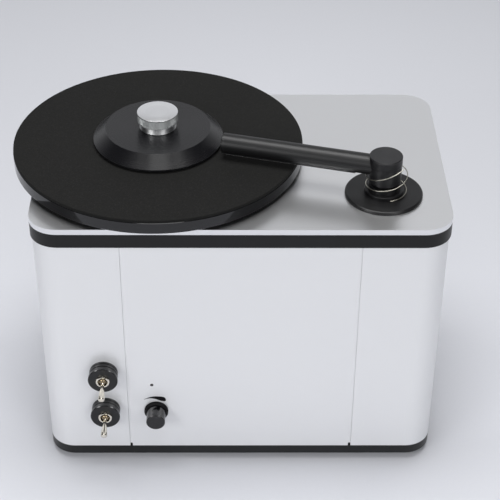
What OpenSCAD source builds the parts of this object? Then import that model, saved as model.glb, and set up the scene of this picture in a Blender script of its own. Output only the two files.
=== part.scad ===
/* [Chassis] */
// Width of the deck
deck_w = 420; // [410:1:460]
// Depth of the deck
deck_d = 265; // [260:1:300]
// Corner radius of the deck, seen from above
deck_r = 30; // [20:1:40]
// How far the deck stands out past the body
deck_overhang = 2; // [1:0.5:5]
// Thickness of the silver top plate
plate_t = 6; // [4:0.5:8]
// Thickness of the black deck board
board_t = 15.5; // [12:0.5:22]
// Height of the silver sheets
sheet_h = 267; // [262:1:300]
// Thickness of the silver sheets
sheet_t = 3; // [2:0.5:4]
// Thickness of the black base plate
base_t = 11; // [9:0.5:16]
// Width of the front and rear panels, seam to seam
panel_w = 240; // [230:1:246]
// Gap at each seam
seam_gap = 0.2; // [0.1:0.05:0.6]
// Width of the shallow bevel up each edge of a panel
seam_bevel = 2.5; // [1.5:0.1:4]
// Depth of that bevel
seam_bevel_t = 0.4; // [0.2:0.05:0.8]
// Height of the nick at the foot of each seam
seam_nick = 4; // [2:0.5:6]
// Side of the square corner posts
corner_post_w = 16; // [12:1:20]
// Width of the strip behind each seam
cleat_w = 24; // [16:1:28]
// Thickness of the strip behind each seam
cleat_t = 2; // [1.5:0.5:3]

/* [Feet] */
// Radius of a rubber foot
foot_r = 15; // [12:1:18]
// Height of a rubber foot
foot_h = 8; // [6:0.5:12]
// Distance of the feet from the sides of the body
foot_inset = 32; // [26:1:40]

/* [Platter] */
// Platter centre, left of the middle of the deck
platter_x = -85.8; // [-95:0.1:-80]
// Platter centre, behind the middle of the deck
platter_y = 5.5; // [0:0.1:10]
// How far the platter's edge stands out past the mat
platter_lip = 0.3; // [0.1:0.1:2]
// Thickness of the platter
platter_t = 12.4; // [10:0.1:16]
// Gap under the platter
platter_gap = 3.6; // [2.5:0.1:5]
// Radius of the mat, that of a twelve-inch record
mat_r = 150; // [146:0.1:152]
// Thickness of the mat
mat_t = 3; // [2:0.1:4]
// Radius of the spindle tip, to suit the hole of a record
spindle_r = 3.58; // [3.4:0.01:3.6]
// Height of the spindle tip above the mat
spindle_rise = 12; // [10:0.5:14]
// Radius of the spindle shaft
shaft_r = 6; // [5:0.1:8]
// Radius of the hub that carries the platter
hub_r = 32; // [24:1:40]

/* [Clamp] */
// Radius of the clamp at its rim
clamp_r = 67.2; // [62:0.1:70]
// Radius of the flat top of the clamp
clamp_top_r = 54.4; // [48:0.1:58]
// Height of the clamp
clamp_h = 13.6; // [12:0.1:16]
// Height of the upright rim of the clamp
clamp_rim_h = 2.4; // [1:0.1:4]
// How high the clamp stands above the mat
clamp_stand = 1.8; // [1.5:0.1:2.5]
// Middle radius of the clamp's seal
seal_r = 60; // [57:0.5:61]
// Width of the seal
seal_w = 3; // [2:0.1:4]
// Radius of the knurled grip
knob_r = 21; // [18:0.1:24]
// Height of the knurled grip
knob_grip_h = 10.2; // [8:0.1:14]
// Radius of the neck under the grip
knob_neck_r = 19; // [15:0.1:20]
// Height of the neck
knob_neck_h = 7.4; // [5:0.1:10]
// Radius of the threaded hub inside the clamp
knob_hub_r = 9; // [7:0.1:11]

/* [Suction arm] */
// Arm pivot, right of the middle of the deck
pivot_x = 143.9; // [138:0.1:150]
// Arm pivot, from the middle of the deck towards the rear
pivot_y = -68.6; // [-75:0.1:-65]
// Direction of the arm from its pivot, in degrees
arm_dir = 164.7; // [162:0.1:166]
// Gap between the closed end of the arm and the clamp
arm_clear = 5.8; // [3:0.1:12]
// Outer radius of the arm tube
arm_r = 10.4; // [9.5:0.1:11]
// Wall of the arm tube
arm_wall = 2; // [1.5:0.1:3]
// Height of the arm's axis above the deck
arm_z = 32.8; // [32.6:0.1:35]
// Width of the suction slot
slot_w = 2; // [1.5:0.1:3]
// Distance of the slot from the pivot
slot_start = 92; // [85:1:100]
// Distance from the slot to the arm's end
slot_margin = 8; // [6:1:12]
// Thickness of the velvet pads
pad_t = 1; // [0.6:0.1:1.5]
// Distance of the pads from the pivot
pad_start = 29; // [26:1:40]
// Angle that each pad covers round the tube
pad_sweep = 24; // [16:1:30]
// Angle between a pad and the bottom of the tube
pad_offset = 8; // [7:1:12]
// Radius of the lower part of the arm head
head_r = 16.3; // [14.5:0.1:16.5]
// Radius of the upper part of the arm head
head_top_r = 16.6; // [16:0.1:17]
// Height of the head's lower edge above the deck
head_low = 17; // [16.5:0.1:18]
// Height of the head's step above the deck
head_step = 36.5; // [30:0.1:40]
// Height of the head above the deck, without its cap
head_high = 43.9; // [43.8:0.1:48]
// Thickness of the head's cap
cap_t = 1.8; // [1.5:0.1:4]
// Outer radius of the bushing's sleeve
sleeve_r = 12; // [11.5:0.1:12.5]
// Outer radius of the bushing's collar
collar_r = 16.3; // [14:0.1:16.5]
// Height of the bushing's collar above the deck
collar_high = 13.5; // [12:0.1:13.8]
// Outer radius of the suction post
post_r = 9; // [8:0.1:9.5]
// Wall of the suction post
post_wall = 2.5; // [1.5:0.1:3]
// Height of the post above the deck
post_high = 24; // [22:0.1:26]
// Length of the post under the deck board
post_drop = 30; // [26:1:40]
// Radius of the post's flange
flange_r = 39.3; // [32:0.1:42]
// Thickness of the flange
flange_t = 3.5; // [2.5:0.1:5]
// Radius of the flange's boss
boss_r = 19.8; // [16:0.1:20]
// Height of the boss above the deck
boss_high = 7.5; // [6:0.1:9]

/* [Lift spring] */
// Gap between the boss and the spring's foot
spring_clear = 0.3; // [0.2:0.05:0.5]
// How far the loose turns stand off to the right of the post
spring_shift = 1.9; // [0:0.1:2.2]
// Radius of the spring's wire
wire_r = 0.5; // [0.4:0.05:0.6]
// Gap between the arm tube and the turn that passes under it
spring_under_tube = 0.3; // [0.2:0.05:1]
// Turns of the spring
spring_turns = 2.15; // [1.5:0.05:2.2]
// How far the last turn leans away from the arm
spring_lean = 6.6; // [6.5:0.1:8]
// Steps in each turn of the spring
spring_steps = 24; // [24:1:32]

/* [Switches] */
// Distance of the switches from the middle of the front
switch_x = -143.5; // [-150:0.1:-138]
// Height of the lower switch above the base plate's underside
switch_low = 65.3; // [55:0.1:75]
// Distance between the switches
switch_step = 50.2; // [44:0.1:60]
// Radius of the switch collar's neck
neck_r = 15; // [12:0.1:15.4]
// Length of the switch collar
neck_len = 13.5; // [11:0.1:16]
// Radius of the switch collar's rim
rim_r = 15.5; // [14.5:0.1:17]
// Thickness of the switch collar's rim
rim_t = 3; // [2:0.1:4]
// Radius of the threaded bush
bush_r = 6; // [5.8:0.1:6.5]
// Radius of the ring nut
nut_r = 7.3; // [7:0.1:9]
// Thickness of the ring nut
nut_t = 2.4; // [1.5:0.1:3]
// Radius of the mouth that the lever stands in
mouth_r = 5.1; // [4.9:0.05:5.3]
// Length of the lever from its ball
lever_len = 25.7; // [18:0.1:26]
// Radius of the lever at its tip
lever_tip_r = 3.4; // [2.6:0.1:3.6]
// Radius of the lever at its root
lever_root_r = 1.7; // [1.4:0.1:2]
// Radius of the lever's ball
ball_r = 4.6; // [4:0.05:4.7]
// Tilt of the lever from the level, in degrees
lever_tilt = 13.5; // [10:0.5:15]

/* [Speed knob] */
// Distance of the speed knob from the middle of the front
speed_x = -90; // [-100:0.1:-80]
// Height of the speed knob above the base plate's underside
speed_z = 62.6; // [55:0.1:75]
// Radius of the knob's skirt
skirt_r = 12.8; // [11:0.1:14]
// Thickness of the knob's skirt
skirt_t = 4; // [3:0.1:5]
// Radius of the knob's grip
grip_r = 9.9; // [8:0.1:10.4]
// How far the knob stands out
grip_len = 19.8; // [17:0.1:24]
// Radius of the control's shaft
pot_shaft_r = 3; // [2.5:0.1:3.5]
// Radius of the control's can
pot_can_r = 10; // [8:0.1:12]
// Radius of the indicator lamp
lamp_r = 1.8; // [1:0.1:2.5]
// Height of the indicator lamp above the base plate's underside
lamp_z = 98.3; // [92:0.1:104]
// Distance of the indicator lamp from the middle of the front
lamp_x = -93.7; // [-98:0.1:-86]

/* [Drive] */
// Radius of the platter motor
motor_r = 30; // [26:1:32]
// Length of the platter motor
motor_len = 66; // [60:1:68]
// Length of the pillars that hold the motor
pillar_len = 74; // [72:1:80]
// Distance of the pillars from the platter's axis, each way
pillar_pitch = 38; // [36:1:40]
// Thickness of the motor's bracket
bracket_t = 4; // [3:0.5:6]

/* [Vacuum] */
// Vacuum motor, right of the middle
vac_x = 80; // [76:1:84]
// Vacuum motor, behind the middle
vac_y = 35; // [30:1:38]
// Radius of the vacuum motor's fan case
vac_r = 60; // [54:1:62]
// Height of the fan case
vac_case_h = 58; // [54:1:70]
// Height of the vacuum motor above its fan case
vac_top_h = 50; // [40:1:60]
// Thickness of the vacuum motor's rubber ring
vac_mount_t = 6; // [4:0.5:10]
// Tank centre, left of the middle
tank_x = -32; // [-36:1:-30]
// Width of the waste tank
tank_w = 85; // [70:1:88]
// Depth of the waste tank
tank_d = 190; // [180:1:200]
// Height of the waste tank
tank_h = 112; // [104:1:114]
// Wall of the waste tank
tank_wall = 3; // [2:0.5:4]
// Outer radius of the hoses
hose_r = 12; // [11.5:0.5:13]
// Bend radius of the hoses
hose_bend = 30; // [26:1:32]
// Length of the tank's spigots
spigot_len = 16; // [14:1:20]

/* [Rear] */
// Mains inlet, from the middle of the rear panel
inlet_x = -80; // [-82:1:-75]
// Height of the mains inlet above the base plate's underside
inlet_z = 45; // [36:1:60]
// Exhaust grille, from the middle of the rear panel
grille_x = 62; // [58:1:62]
// Height of the exhaust grille above the base plate's underside
grille_z = 50; // [48:1:56]
// Width of the exhaust grille
grille_w = 84; // [70:1:86]
// Height of the exhaust grille
grille_h = 64; // [56:1:70]
// Slots in the exhaust grille
grille_slots = 8; // [5:1:10]
// Outer radius of the drain spout
drain_r = 7; // [5:0.5:9]
// How far the drain spout stands out
drain_out = 12; // [10:1:14]
// Height of the drain spout above the base plate's underside
drain_z = 26; // [24:1:32]

/* [Hidden] */
$fn = 96;

// Running clearance of a shaft in its hole, and the gap of soft or loose pieces
run_gap = 0.05;
soft_gap = 0.3;
screw_r = 2.5;
screw_head_r = 4.5;
screw_head_t = 2.5;

// Outline of the body and the levels from the base plate's underside upward
body_w = deck_w - 2*deck_overhang;
body_d = deck_d - 2*deck_overhang;
body_r = deck_r - deck_overhang;
front_y = -body_d/2;
rear_y = body_d/2;
board_z = base_t + sheet_h;
plate_z = board_z + board_t;
deck_z = plate_z + plate_t;
seam_x = panel_w/2 - seam_gap/2;
corner_x = body_w/2 - sheet_t - corner_post_w/2 - 15;
corner_y = body_d/2 - sheet_t - corner_post_w/2 - 13;
foot_x = body_w/2 - foot_inset;
foot_y = body_d/2 - foot_inset;

// Platter and clamp levels
platter_z = deck_z + platter_gap;
mat_z = platter_z + platter_t;
mat_top = mat_z + mat_t;
clamp_z = mat_top + clamp_stand;
clamp_top = clamp_z + clamp_h;
knob_top = clamp_top + knob_neck_h + knob_grip_h;
retainer_r = knob_hub_r + 4;
knob_edge = 0.4;
cap_edge = 0.7;
retainer_t = 1.2;
label_recess_r = seal_r - seal_w/2 - 3;
label_recess_h = 2.6;
seal_groove_h = 1.6;
hub_t = platter_gap - 0.6;

// Drive levels, from the deck board downward
bracket_z = board_z - pillar_len - bracket_t;
motor_shaft_r = 4;
coupling_r = 11;
coupling_z = bracket_z + bracket_t + 8;
coupling_h = 30;
bearing_r = 14;
bearing_drop = 28;
bearing_flange_r = 28;
bearing_flange_t = 5;
shaft_end_z = coupling_z + coupling_h/2 + 1;

// Vacuum levels, from the base plate upward
vac_z = base_t + vac_mount_t;
vac_top = vac_z + vac_case_h + vac_top_h;
tank_top = base_t + tank_h;
tank_y = -5;
hose_bore_r = post_r + run_gap;
spigot_r = post_r;
spigot_bore_r = spigot_r - 2;
vac_spigot_len = max(spigot_len, tank_top + spigot_len - vac_top);
hose_grip = 8;

// The curve of the lift spring: height, lean and points along the wire
spring_base = flange_t + wire_r + soft_gap;
lean_turn = 1.75;
dead_turn = 0.3;
function spring_rise(t) = t < dead_turn ? t*t/(2*dead_turn) : t - dead_turn/2;
function spring_tilt(t) = spring_lean*min(1, pow(t/lean_turn, 2));
function spring_az(t) = -90 + 360*t;
function spring_drift(t) = spring_shift*(1 - pow(1 - min(1, t/dead_turn), 2));
spring_r = boss_r + wire_r + spring_clear;
tube_turn = 1 + (arm_dir - spring_az(0))/360;
spring_pitch = (arm_z - arm_r - spring_under_tube - wire_r - spring_base
    - spring_tilt(tube_turn)*cos(arm_dir))/spring_rise(tube_turn);
function spring_point(t) = [
    spring_drift(t) + spring_r*cos(spring_az(t)),
    spring_r*sin(spring_az(t)),
    spring_base + spring_pitch*spring_rise(t) + spring_tilt(t)*cos(spring_az(t))
];
spring_count = round(spring_turns*spring_steps);
spring_path = [for (i = [0:spring_count]) spring_point(i*spring_turns/spring_count)];
spring_gap = min([
    for (i = [0:spring_count], j = [0:spring_count])
        if (abs(i - j) > spring_steps/2) norm(spring_path[i] - spring_path[j]) - 2*wire_r
]);

// Lever tip, platter and the outline that the part's origin is the middle of
lever_pivot = neck_len - 1;
tip_round = 1.6;
lever_pin_r = 0.9;
lever_reach = lever_pivot + lever_len*cos(lever_tilt) + (lever_tip_r - tip_round)*sin(lever_tilt);
platter_r = mat_r + platter_lip;
part_left = min(platter_x - platter_r, -deck_w/2);
part_right = deck_w/2;
part_front = min(front_y - lever_reach, front_y - grip_len, -deck_d/2);
part_rear = max(platter_y + platter_r, deck_d/2, rear_y + drain_out + 3);
origin_x = (part_left + part_right)/2;
origin_y = (part_front + part_rear)/2;

switch_high = switch_low + switch_step;

// Sizes of the smaller pieces
foot_screw_r = 2;
foot_screw_head_r = 4;
foot_screw_head_t = 1.8;
foot_screw_grip = 7;
post_thread = 20;
panel_screw_r = 1.5;
panel_screw_head_r = 3;
panel_screw_head_t = 1.8;
bolt_past_plate = 16;
rear_screw_inset = 6;
arm_len = norm([pivot_x - platter_x, pivot_y - platter_y]) - clamp_r - arm_clear;
arm_root = sleeve_r + 0.6;
arm_end_t = 3;
tube_len = arm_len - arm_end_t - arm_root;
groove_w = 1.6;
groove_t = 0.9;
case_w = 20;
case_h = 34;
case_t = 28;
pot_bush_r = pot_shaft_r + 1.6;
knob_lift = 0.6;
hose_level = board_z - post_drop - hose_bend - 12;
hose_high = board_z - post_drop + hose_grip;
hose_low = tank_top + spigot_len - hose_grip;
air_level = max(tank_top, vac_top) + spigot_len + hose_bend + 4;
air_low = vac_top + vac_spigot_len - hose_grip;
duct_w = grille_w - 20;
duct_h = min(grille_h - 20, 2*(grille_z - vac_z - 3));
slot_pitch = (grille_h - 16)/grille_slots;
inlet_body_w = 28;
inlet_body_h = 21;
inlet_flange_w = 48;
inlet_flange_h = 25;
inlet_depth = 22;
pin_short = 4.5;
socket_w = 24.4;
socket_h = 16.6;
socket_d = 16;
inlet_flange_t = 3;
board_x = -146;
board_y = 10;
pcb_w = 70;
pcb_d = 120;
spacer_h = 8;
pcb_t = 1.6;
pcb_z = base_t + spacer_h;
transformer = [44, 38, 34];
capacitor_r = 7;
capacitor_h = 24;
sink = [50, 12, 28];
sink_fins = 7;
relay = [16, 12, 15];

silver = [0.85, 0.86, 0.88];
plate_silver = [0.76, 0.77, 0.79];
satin_black = [0.14, 0.14, 0.15];
deep_black = [0.07, 0.07, 0.08];
rubber_black = [0.1, 0.1, 0.1];
nickel = [0.78, 0.76, 0.7];
steel = [0.7, 0.71, 0.72];
zinc = [0.62, 0.63, 0.64];

echo(spring_gap = spring_gap);
echo(origin = [origin_x, origin_y, -foot_h]);
echo(levels = [deck_z, mat_top, clamp_z, knob_top, board_z, bracket_z]);
echo(switches = [switch_x, front_y - lever_pivot, switch_low, switch_high]);
echo(reach = [part_left, part_right, part_front, part_rear]);

// Moves a piece from the middle of the chassis to the part's own origin
module place() {
    translate([-origin_x, -origin_y, foot_h]) children();
}

// Rectangle with round corners, drawn from plain squares and circles
module round_rect(w, d, r) {
    square([w - 2*r, d], center = true);
    square([w, d - 2*r], center = true);
    for (x = [-1, 1], y = [-1, 1])
        translate([x*(w/2 - r), y*(d/2 - r)]) circle(r);
}

// Flat piece with round corners, standing on z
module round_slab(w, d, r, z, h) {
    translate([0, 0, z]) linear_extrude(h) round_rect(w, d, r);
}

// Hole straight up through a level
module hole(x, y, r, z, h) {
    translate([x, y, z - 1]) cylinder(h = h + 2, r = r);
}

// Puts a turned piece on the front, its axis pointing out of the panel
module on_front(x, z) {
    translate([x, front_y, z]) rotate([90, 0, 0]) children();
}

// Puts a turned piece on the rear, its axis pointing out of the panel
module on_rear(x, z) {
    translate([x, rear_y, z]) rotate([-90, 0, 0]) children();
}

// The four corners that posts, feet and screws share
module at_corners(x, y) {
    for (sx = [-1, 1], sy = [-1, 1]) translate([sx*x, sy*y, 0]) children();
}

// Screw with a flat head, standing on its head
module screw(r, len, head_r, head_t) {
    cylinder(h = head_t, r = head_r);
    cylinder(h = len, r = r);
}

module base_plate() color(deep_black) place() difference() {
    round_slab(body_w, body_d, body_r, 0, base_t);
    at_corners(corner_x, corner_y) {
        translate([0, 0, -1]) cylinder(h = base_t + 2, r = screw_r + run_gap);
        translate([0, 0, -1]) cylinder(h = screw_head_t + 1, r = screw_head_r + soft_gap);
    }
    at_corners(foot_x, foot_y) translate([0, 0, -1]) cylinder(h = foot_screw_grip, r = foot_screw_r);
}

// Rubber foot with a recess for its screw
module rubber_feet() color(rubber_black) place()
    at_corners(foot_x, foot_y) translate([0, 0, -foot_h]) rotate_extrude() polygon([
        [foot_screw_head_r + 0.2, 0], [foot_r - 1.5, 0], [foot_r, 1.5], [foot_r + 1, foot_h],
        [foot_screw_r + 0.1, foot_h], [foot_screw_r + 0.1, foot_h/2], [foot_screw_head_r + 0.2, foot_h/2]
    ]);

module foot_screws() color(zinc) place()
    at_corners(foot_x, foot_y) translate([0, 0, -foot_h/2 - foot_screw_head_t])
        screw(foot_screw_r, foot_h/2 + foot_screw_grip, foot_screw_head_r, foot_screw_head_t);

module corner_posts() color(zinc) place() at_corners(corner_x, corner_y) difference() {
    translate([-corner_post_w/2, -corner_post_w/2, base_t])
        cube([corner_post_w, corner_post_w, sheet_h]);
    translate([0, 0, base_t - 1]) cylinder(h = post_thread + 1, r = screw_r);
    translate([0, 0, board_z - post_thread]) cylinder(h = post_thread + 1, r = screw_r);
}

// Screws that hold the base plate and the deck board to the posts
module post_screws() color(zinc) place() at_corners(corner_x, corner_y) {
    screw(screw_r, base_t + bolt_past_plate, screw_head_r, screw_head_t);
    translate([0, 0, plate_z]) mirror([0, 0, 1])
        screw(screw_r, board_t + bolt_past_plate, screw_head_r, screw_head_t);
}

// Bent sheet of the body, outer face less inner face
module body_ring() difference() {
    round_rect(body_w, body_d, body_r);
    round_rect(body_w - 2*sheet_t, body_d - 2*sheet_t, body_r - sheet_t);
}

// U-shaped shell on one side, from the front seam round to the rear seam
module side_shell(side) translate([0, 0, base_t]) linear_extrude(sheet_h) intersection() {
    body_ring();
    translate([side*(panel_w/2 + body_w/2), 0]) square([body_w, body_d + 2], center = true);
}

module left_side_shell() color(silver) place() difference() {
    side_shell(-1);
    for (z = [switch_low, switch_high])
        on_front(switch_x, z) translate([0, 0, -sheet_t - 1]) cylinder(h = sheet_t + 2, r = bush_r + run_gap);
}

module right_side_shell() color(silver) place() side_shell(1);

// Flat sheet between the seams, its face towards -Y, with bevelled edges nicked at the foot
module flat_panel() {
    edge = panel_w/2 - seam_gap;
    difference() {
        translate([0, front_y, base_t]) linear_extrude(sheet_h) polygon([
            [-edge, seam_bevel_t], [-edge + seam_bevel, 0], [edge - seam_bevel, 0], [edge, seam_bevel_t],
            [edge, sheet_t], [-edge, sheet_t]
        ]);
        for (side = [-1, 1]) translate([side*edge, front_y, base_t])
            cube([2*seam_bevel, 4*sheet_t, 2*seam_nick], center = true);
    }
}

module front_panel() color(silver) place() difference() {
    flat_panel();
    on_front(speed_x, speed_z) translate([0, 0, -sheet_t - 1]) cylinder(h = sheet_t + 2, r = pot_bush_r + run_gap);
    on_front(lamp_x, lamp_z) translate([0, 0, -sheet_t - 1]) cylinder(h = sheet_t + 2, r = lamp_r + run_gap);
}

module rear_panel() color(silver) place() difference() {
    mirror([0, 1, 0]) flat_panel();
    translate([inlet_x, rear_y, inlet_z]) cube([inlet_body_w + 0.4, 4*sheet_t, inlet_body_h + 0.4], center = true);
    translate([grille_x, rear_y, grille_z]) cube([grille_w - 14, 4*sheet_t, grille_h - 14], center = true);
    on_rear(tank_x, drain_z) translate([0, 0, -sheet_t - 1]) cylinder(h = sheet_t + 2, r = drain_r + run_gap);
    rear_screw_places() translate([0, 0, -sheet_t - 1]) cylinder(h = sheet_t + 2, r = panel_screw_r + run_gap);
}

module seam_cleats() color(rubber_black) place() difference() {
    for (x = [-seam_x, seam_x], y = [front_y + sheet_t + cleat_t/2, rear_y - sheet_t - cleat_t/2])
        translate([x, y, base_t + sheet_h/2]) cube([cleat_w, cleat_t, sheet_h], center = true);
    rear_screw_places() translate([0, 0, -sheet_t - cleat_t - 1]) cylinder(h = cleat_t + 2, r = panel_screw_r);
}

// Screws up both edges of the rear panel
module rear_screw_places() {
    for (x = [-1, 1], k = [0:2])
        on_rear(x*(panel_w/2 - rear_screw_inset), base_t + 20 + k*(sheet_h - 40)/2) children();
}

module rear_panel_screws() color(zinc) place()
    rear_screw_places() translate([0, 0, panel_screw_head_t]) mirror([0, 0, 1])
        screw(panel_screw_r, panel_screw_head_t + sheet_t + cleat_t, panel_screw_head_r, panel_screw_head_t);

module deck_board() color(deep_black) place() difference() {
    round_slab(deck_w, deck_d, deck_r, board_z, board_t);
    hole(platter_x, platter_y, bearing_r + run_gap, board_z, board_t);
    hole(pivot_x, pivot_y, post_r + run_gap, board_z, board_t);
    at_corners(corner_x, corner_y) {
        translate([0, 0, board_z - 1]) cylinder(h = board_t + 2, r = screw_r + run_gap);
        translate([0, 0, plate_z - screw_head_t]) cylinder(h = screw_head_t + 1, r = screw_head_r + soft_gap);
    }
}

module top_plate() color(plate_silver) place() difference() {
    round_slab(deck_w, deck_d, deck_r, plate_z, plate_t);
    hole(platter_x, platter_y, bearing_r + run_gap, plate_z, plate_t);
    hole(pivot_x, pivot_y, post_r + run_gap, plate_z, plate_t);
}

module at_platter(z) translate([platter_x, platter_y, z]) children();

// Turned platter with a broken edge and a relieved underside
module platter() color(deep_black) place() at_platter(platter_z) rotate_extrude() polygon([
    [spindle_r + run_gap, 0], [hub_r + 6, 0], [hub_r + 8, 2], [platter_r - 14, 2], [platter_r - 12, 0],
    [platter_r - 0.6, 0], [platter_r, 0.6], [platter_r, platter_t - 0.6],
    [platter_r - 0.6, platter_t], [spindle_r + run_gap, platter_t]
]);

module platter_mat() color([0.17, 0.17, 0.165]) place() at_platter(mat_z) rotate_extrude() polygon([
    [spindle_r + run_gap, 0], [mat_r, 0], [mat_r, mat_t - 0.6], [mat_r - 0.6, mat_t],
    [spindle_r + run_gap, mat_t]
]);

// Shaft, the hub that the platter sits on, and the tip that centres a record
module spindle() color(steel) place() at_platter(0) rotate_extrude() polygon([
    [0, shaft_end_z], [shaft_r - 0.8, shaft_end_z], [shaft_r, shaft_end_z + 0.8],
    [shaft_r, platter_z - hub_t], [hub_r, platter_z - hub_t], [hub_r, platter_z],
    [spindle_r, platter_z], [spindle_r, mat_top + spindle_rise - 1.5],
    [spindle_r - 1.5, mat_top + spindle_rise], [0, mat_top + spindle_rise]
]);

module spindle_bearing() color([0.7, 0.55, 0.3]) place() at_platter(0) rotate_extrude() polygon([
    [shaft_r + run_gap, board_z - bearing_drop], [bearing_r - 2, board_z - bearing_drop],
    [bearing_r, board_z - bearing_drop + 2], [bearing_r, board_z - bearing_flange_t],
    [bearing_flange_r, board_z - bearing_flange_t], [bearing_flange_r, board_z],
    [bearing_r, board_z], [bearing_r, deck_z], [shaft_r + run_gap, deck_z]
]);

module drive_coupling() color(zinc) place() at_platter(coupling_z) difference() {
    cylinder(h = coupling_h, r = coupling_r);
    translate([0, 0, coupling_h/2]) cylinder(h = coupling_h, r = shaft_r);
    translate([0, 0, -1]) cylinder(h = coupling_h, r = motor_shaft_r);
    for (k = [0:3]) translate([0, 0, 9 + 3*k]) rotate([0, 0, 90*k])
        translate([2, -coupling_r - 1, 0]) cube([coupling_r, 2*coupling_r + 2, 1]);
}

module motor_shaft() color(steel) place() at_platter(bracket_z - 10)
    cylinder(h = coupling_z + coupling_h/2 - 1 - bracket_z + 10, r = motor_shaft_r);

// Gear motor: gearbox on top, motor can below, boss round the output shaft
module platter_motor() color(zinc) place() at_platter(0) difference() {
    union() {
        translate([0, 0, bracket_z - 30]) cylinder(h = 30, r = motor_r);
        translate([0, 0, bracket_z - motor_len]) cylinder(h = motor_len - 30, r = motor_r - 4);
        translate([0, 0, bracket_z - motor_len - 6]) cylinder(h = 6, r = 8);
        translate([0, 0, bracket_z]) cylinder(h = bracket_t + 2, r = 10);
    }
    translate([0, 0, bracket_z - 11]) cylinder(h = bracket_t + 20, r = motor_shaft_r + run_gap);
}

// Plate under the deck with four pillars
module motor_bracket() color(steel) place() at_platter(0) {
    difference() {
        round_slab(2*pillar_pitch + 14, 2*pillar_pitch + 14, 7, bracket_z, bracket_t);
        translate([0, 0, bracket_z - 1]) cylinder(h = bracket_t + 2, r = 10 + run_gap);
    }
    at_corners(pillar_pitch, pillar_pitch) translate([0, 0, bracket_z + bracket_t]) cylinder(h = pillar_len, r = 4);
}

// Clamp: upright rim, sloping shoulder, seal groove and a recess over the label
module clamp_disc() color(satin_black) place() at_platter(clamp_z) rotate_extrude() polygon([
    [knob_hub_r + run_gap, label_recess_h], [label_recess_r - 2, label_recess_h], [label_recess_r, 0],
    [seal_r - seal_w/2, 0], [seal_r - seal_w/2, seal_groove_h],
    [seal_r + seal_w/2, seal_groove_h], [seal_r + seal_w/2, 0],
    [clamp_r - 0.6, 0], [clamp_r, 0.6], [clamp_r, clamp_rim_h],
    [clamp_top_r, clamp_h], [knob_hub_r + run_gap, clamp_h]
]);

module clamp_seal() color(rubber_black) place() at_platter(mat_top + soft_gap) rotate_extrude() polygon([
    [seal_r - seal_w/2 + 0.8, 0], [seal_r + seal_w/2 - 0.8, 0], [seal_r + seal_w/2, 0.8],
    [seal_r + seal_w/2, clamp_stand - soft_gap + seal_groove_h],
    [seal_r - seal_w/2, clamp_stand - soft_gap + seal_groove_h], [seal_r - seal_w/2, 0.8]
]);

// Clamp knob: smooth neck, wider grip with a turned face, hub with the thread's bore
module clamp_knob() color([0.8, 0.81, 0.82]) place() at_platter(0) rotate_extrude() polygon([
    [spindle_r + run_gap, clamp_z - 1], [knob_hub_r, clamp_z - 1],
    [knob_hub_r, clamp_top + 2*run_gap], [knob_neck_r, clamp_top + 2*run_gap],
    [knob_neck_r, clamp_top + knob_neck_h], [knob_r - knob_edge, clamp_top + knob_neck_h],
    [knob_r, clamp_top + knob_neck_h + knob_edge], [knob_r, knob_top - knob_edge], [knob_r - knob_edge, knob_top],
    [knob_r - 4, knob_top], [knob_r - 4.4, knob_top - 0.3], [0, knob_top - 0.3],
    [0, mat_top + spindle_rise + 2], [spindle_r + run_gap, mat_top + spindle_rise + 2]
]);

module clamp_retainer() color(steel) place() at_platter(clamp_z + label_recess_h - retainer_t - 2*run_gap) difference() {
    cylinder(h = retainer_t, r = retainer_r);
    translate([0, 0, -1]) cylinder(h = retainer_t + 2, r = knob_hub_r);
}

module at_pivot(z) translate([pivot_x, pivot_y, z]) children();

// Flange on the deck with a chamfered rim and the boss that the arm turns on
module post_flange() color(deep_black) place() at_pivot(deck_z) rotate_extrude() polygon([
    [post_r + run_gap, 0], [flange_r, 0], [flange_r, flange_t - 1.4], [flange_r - 0.5, flange_t - 0.5],
    [flange_r - 1.4, flange_t], [boss_r, flange_t], [boss_r, boss_high - 0.6],
    [boss_r - 0.6, boss_high], [post_r + run_gap, boss_high]
]);

// Hollow post that the air is drawn down through
module suction_post() color(steel) place() at_pivot(board_z - post_drop) difference() {
    cylinder(h = deck_z - board_z + post_drop + post_high, r = post_r);
    translate([0, 0, -1])
        cylinder(h = deck_z - board_z + post_drop + post_high + 2, r = post_r - post_wall);
}

module post_nut() color(zinc) place() at_pivot(board_z - 10) difference() {
    cylinder(h = 10, r = 2*post_r, $fn = 6);
    translate([0, 0, -1]) cylinder(h = 12, r = post_r + run_gap);
}

// Bushing that turns on the post and lets the head slide up and down on it
module pivot_bushing() color(deep_black) place() at_pivot(deck_z) rotate_extrude() polygon([
    [post_r + run_gap, boss_high + 0.1], [collar_r, boss_high + 0.1], [collar_r, collar_high - 0.5],
    [collar_r - 0.5, collar_high], [sleeve_r, collar_high], [sleeve_r, post_high],
    [post_r + run_gap, post_high]
]);

// Rings of a round wire along a list of points, joined by triangles
module wire(path, r, sides) {
    n = len(path);
    function along(i) = path[min(i + 1, n - 1)] - path[max(i - 1, 0)];
    function unit(v) = v/norm(v);
    function outward(i) = let (t = unit(along(i)), o = [path[i].x, path[i].y, 0]) unit(o - (o*t)*t);
    points = [
        for (i = [0:n - 1], k = [0:sides - 1])
            let (t = unit(along(i)), a = outward(i), b = cross(t, a), q = 360*k/sides)
                path[i] + r*cos(q)*a + r*sin(q)*b
    ];
    faces = concat(
        [for (i = [0:n - 2], k = [0:sides - 1]) [i*sides + k, (i + 1)*sides + k, i*sides + (k + 1)%sides]],
        [for (i = [0:n - 2], k = [0:sides - 1])
            [i*sides + (k + 1)%sides, (i + 1)*sides + k, (i + 1)*sides + (k + 1)%sides]],
        [for (k = [1:sides - 2]) [0, k, k + 1]],
        [for (k = [1:sides - 2]) [(n - 1)*sides, (n - 1)*sides + k + 1, (n - 1)*sides + k]]
    );
    polyhedron(points = points, faces = faces, convexity = 6);
}

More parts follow.
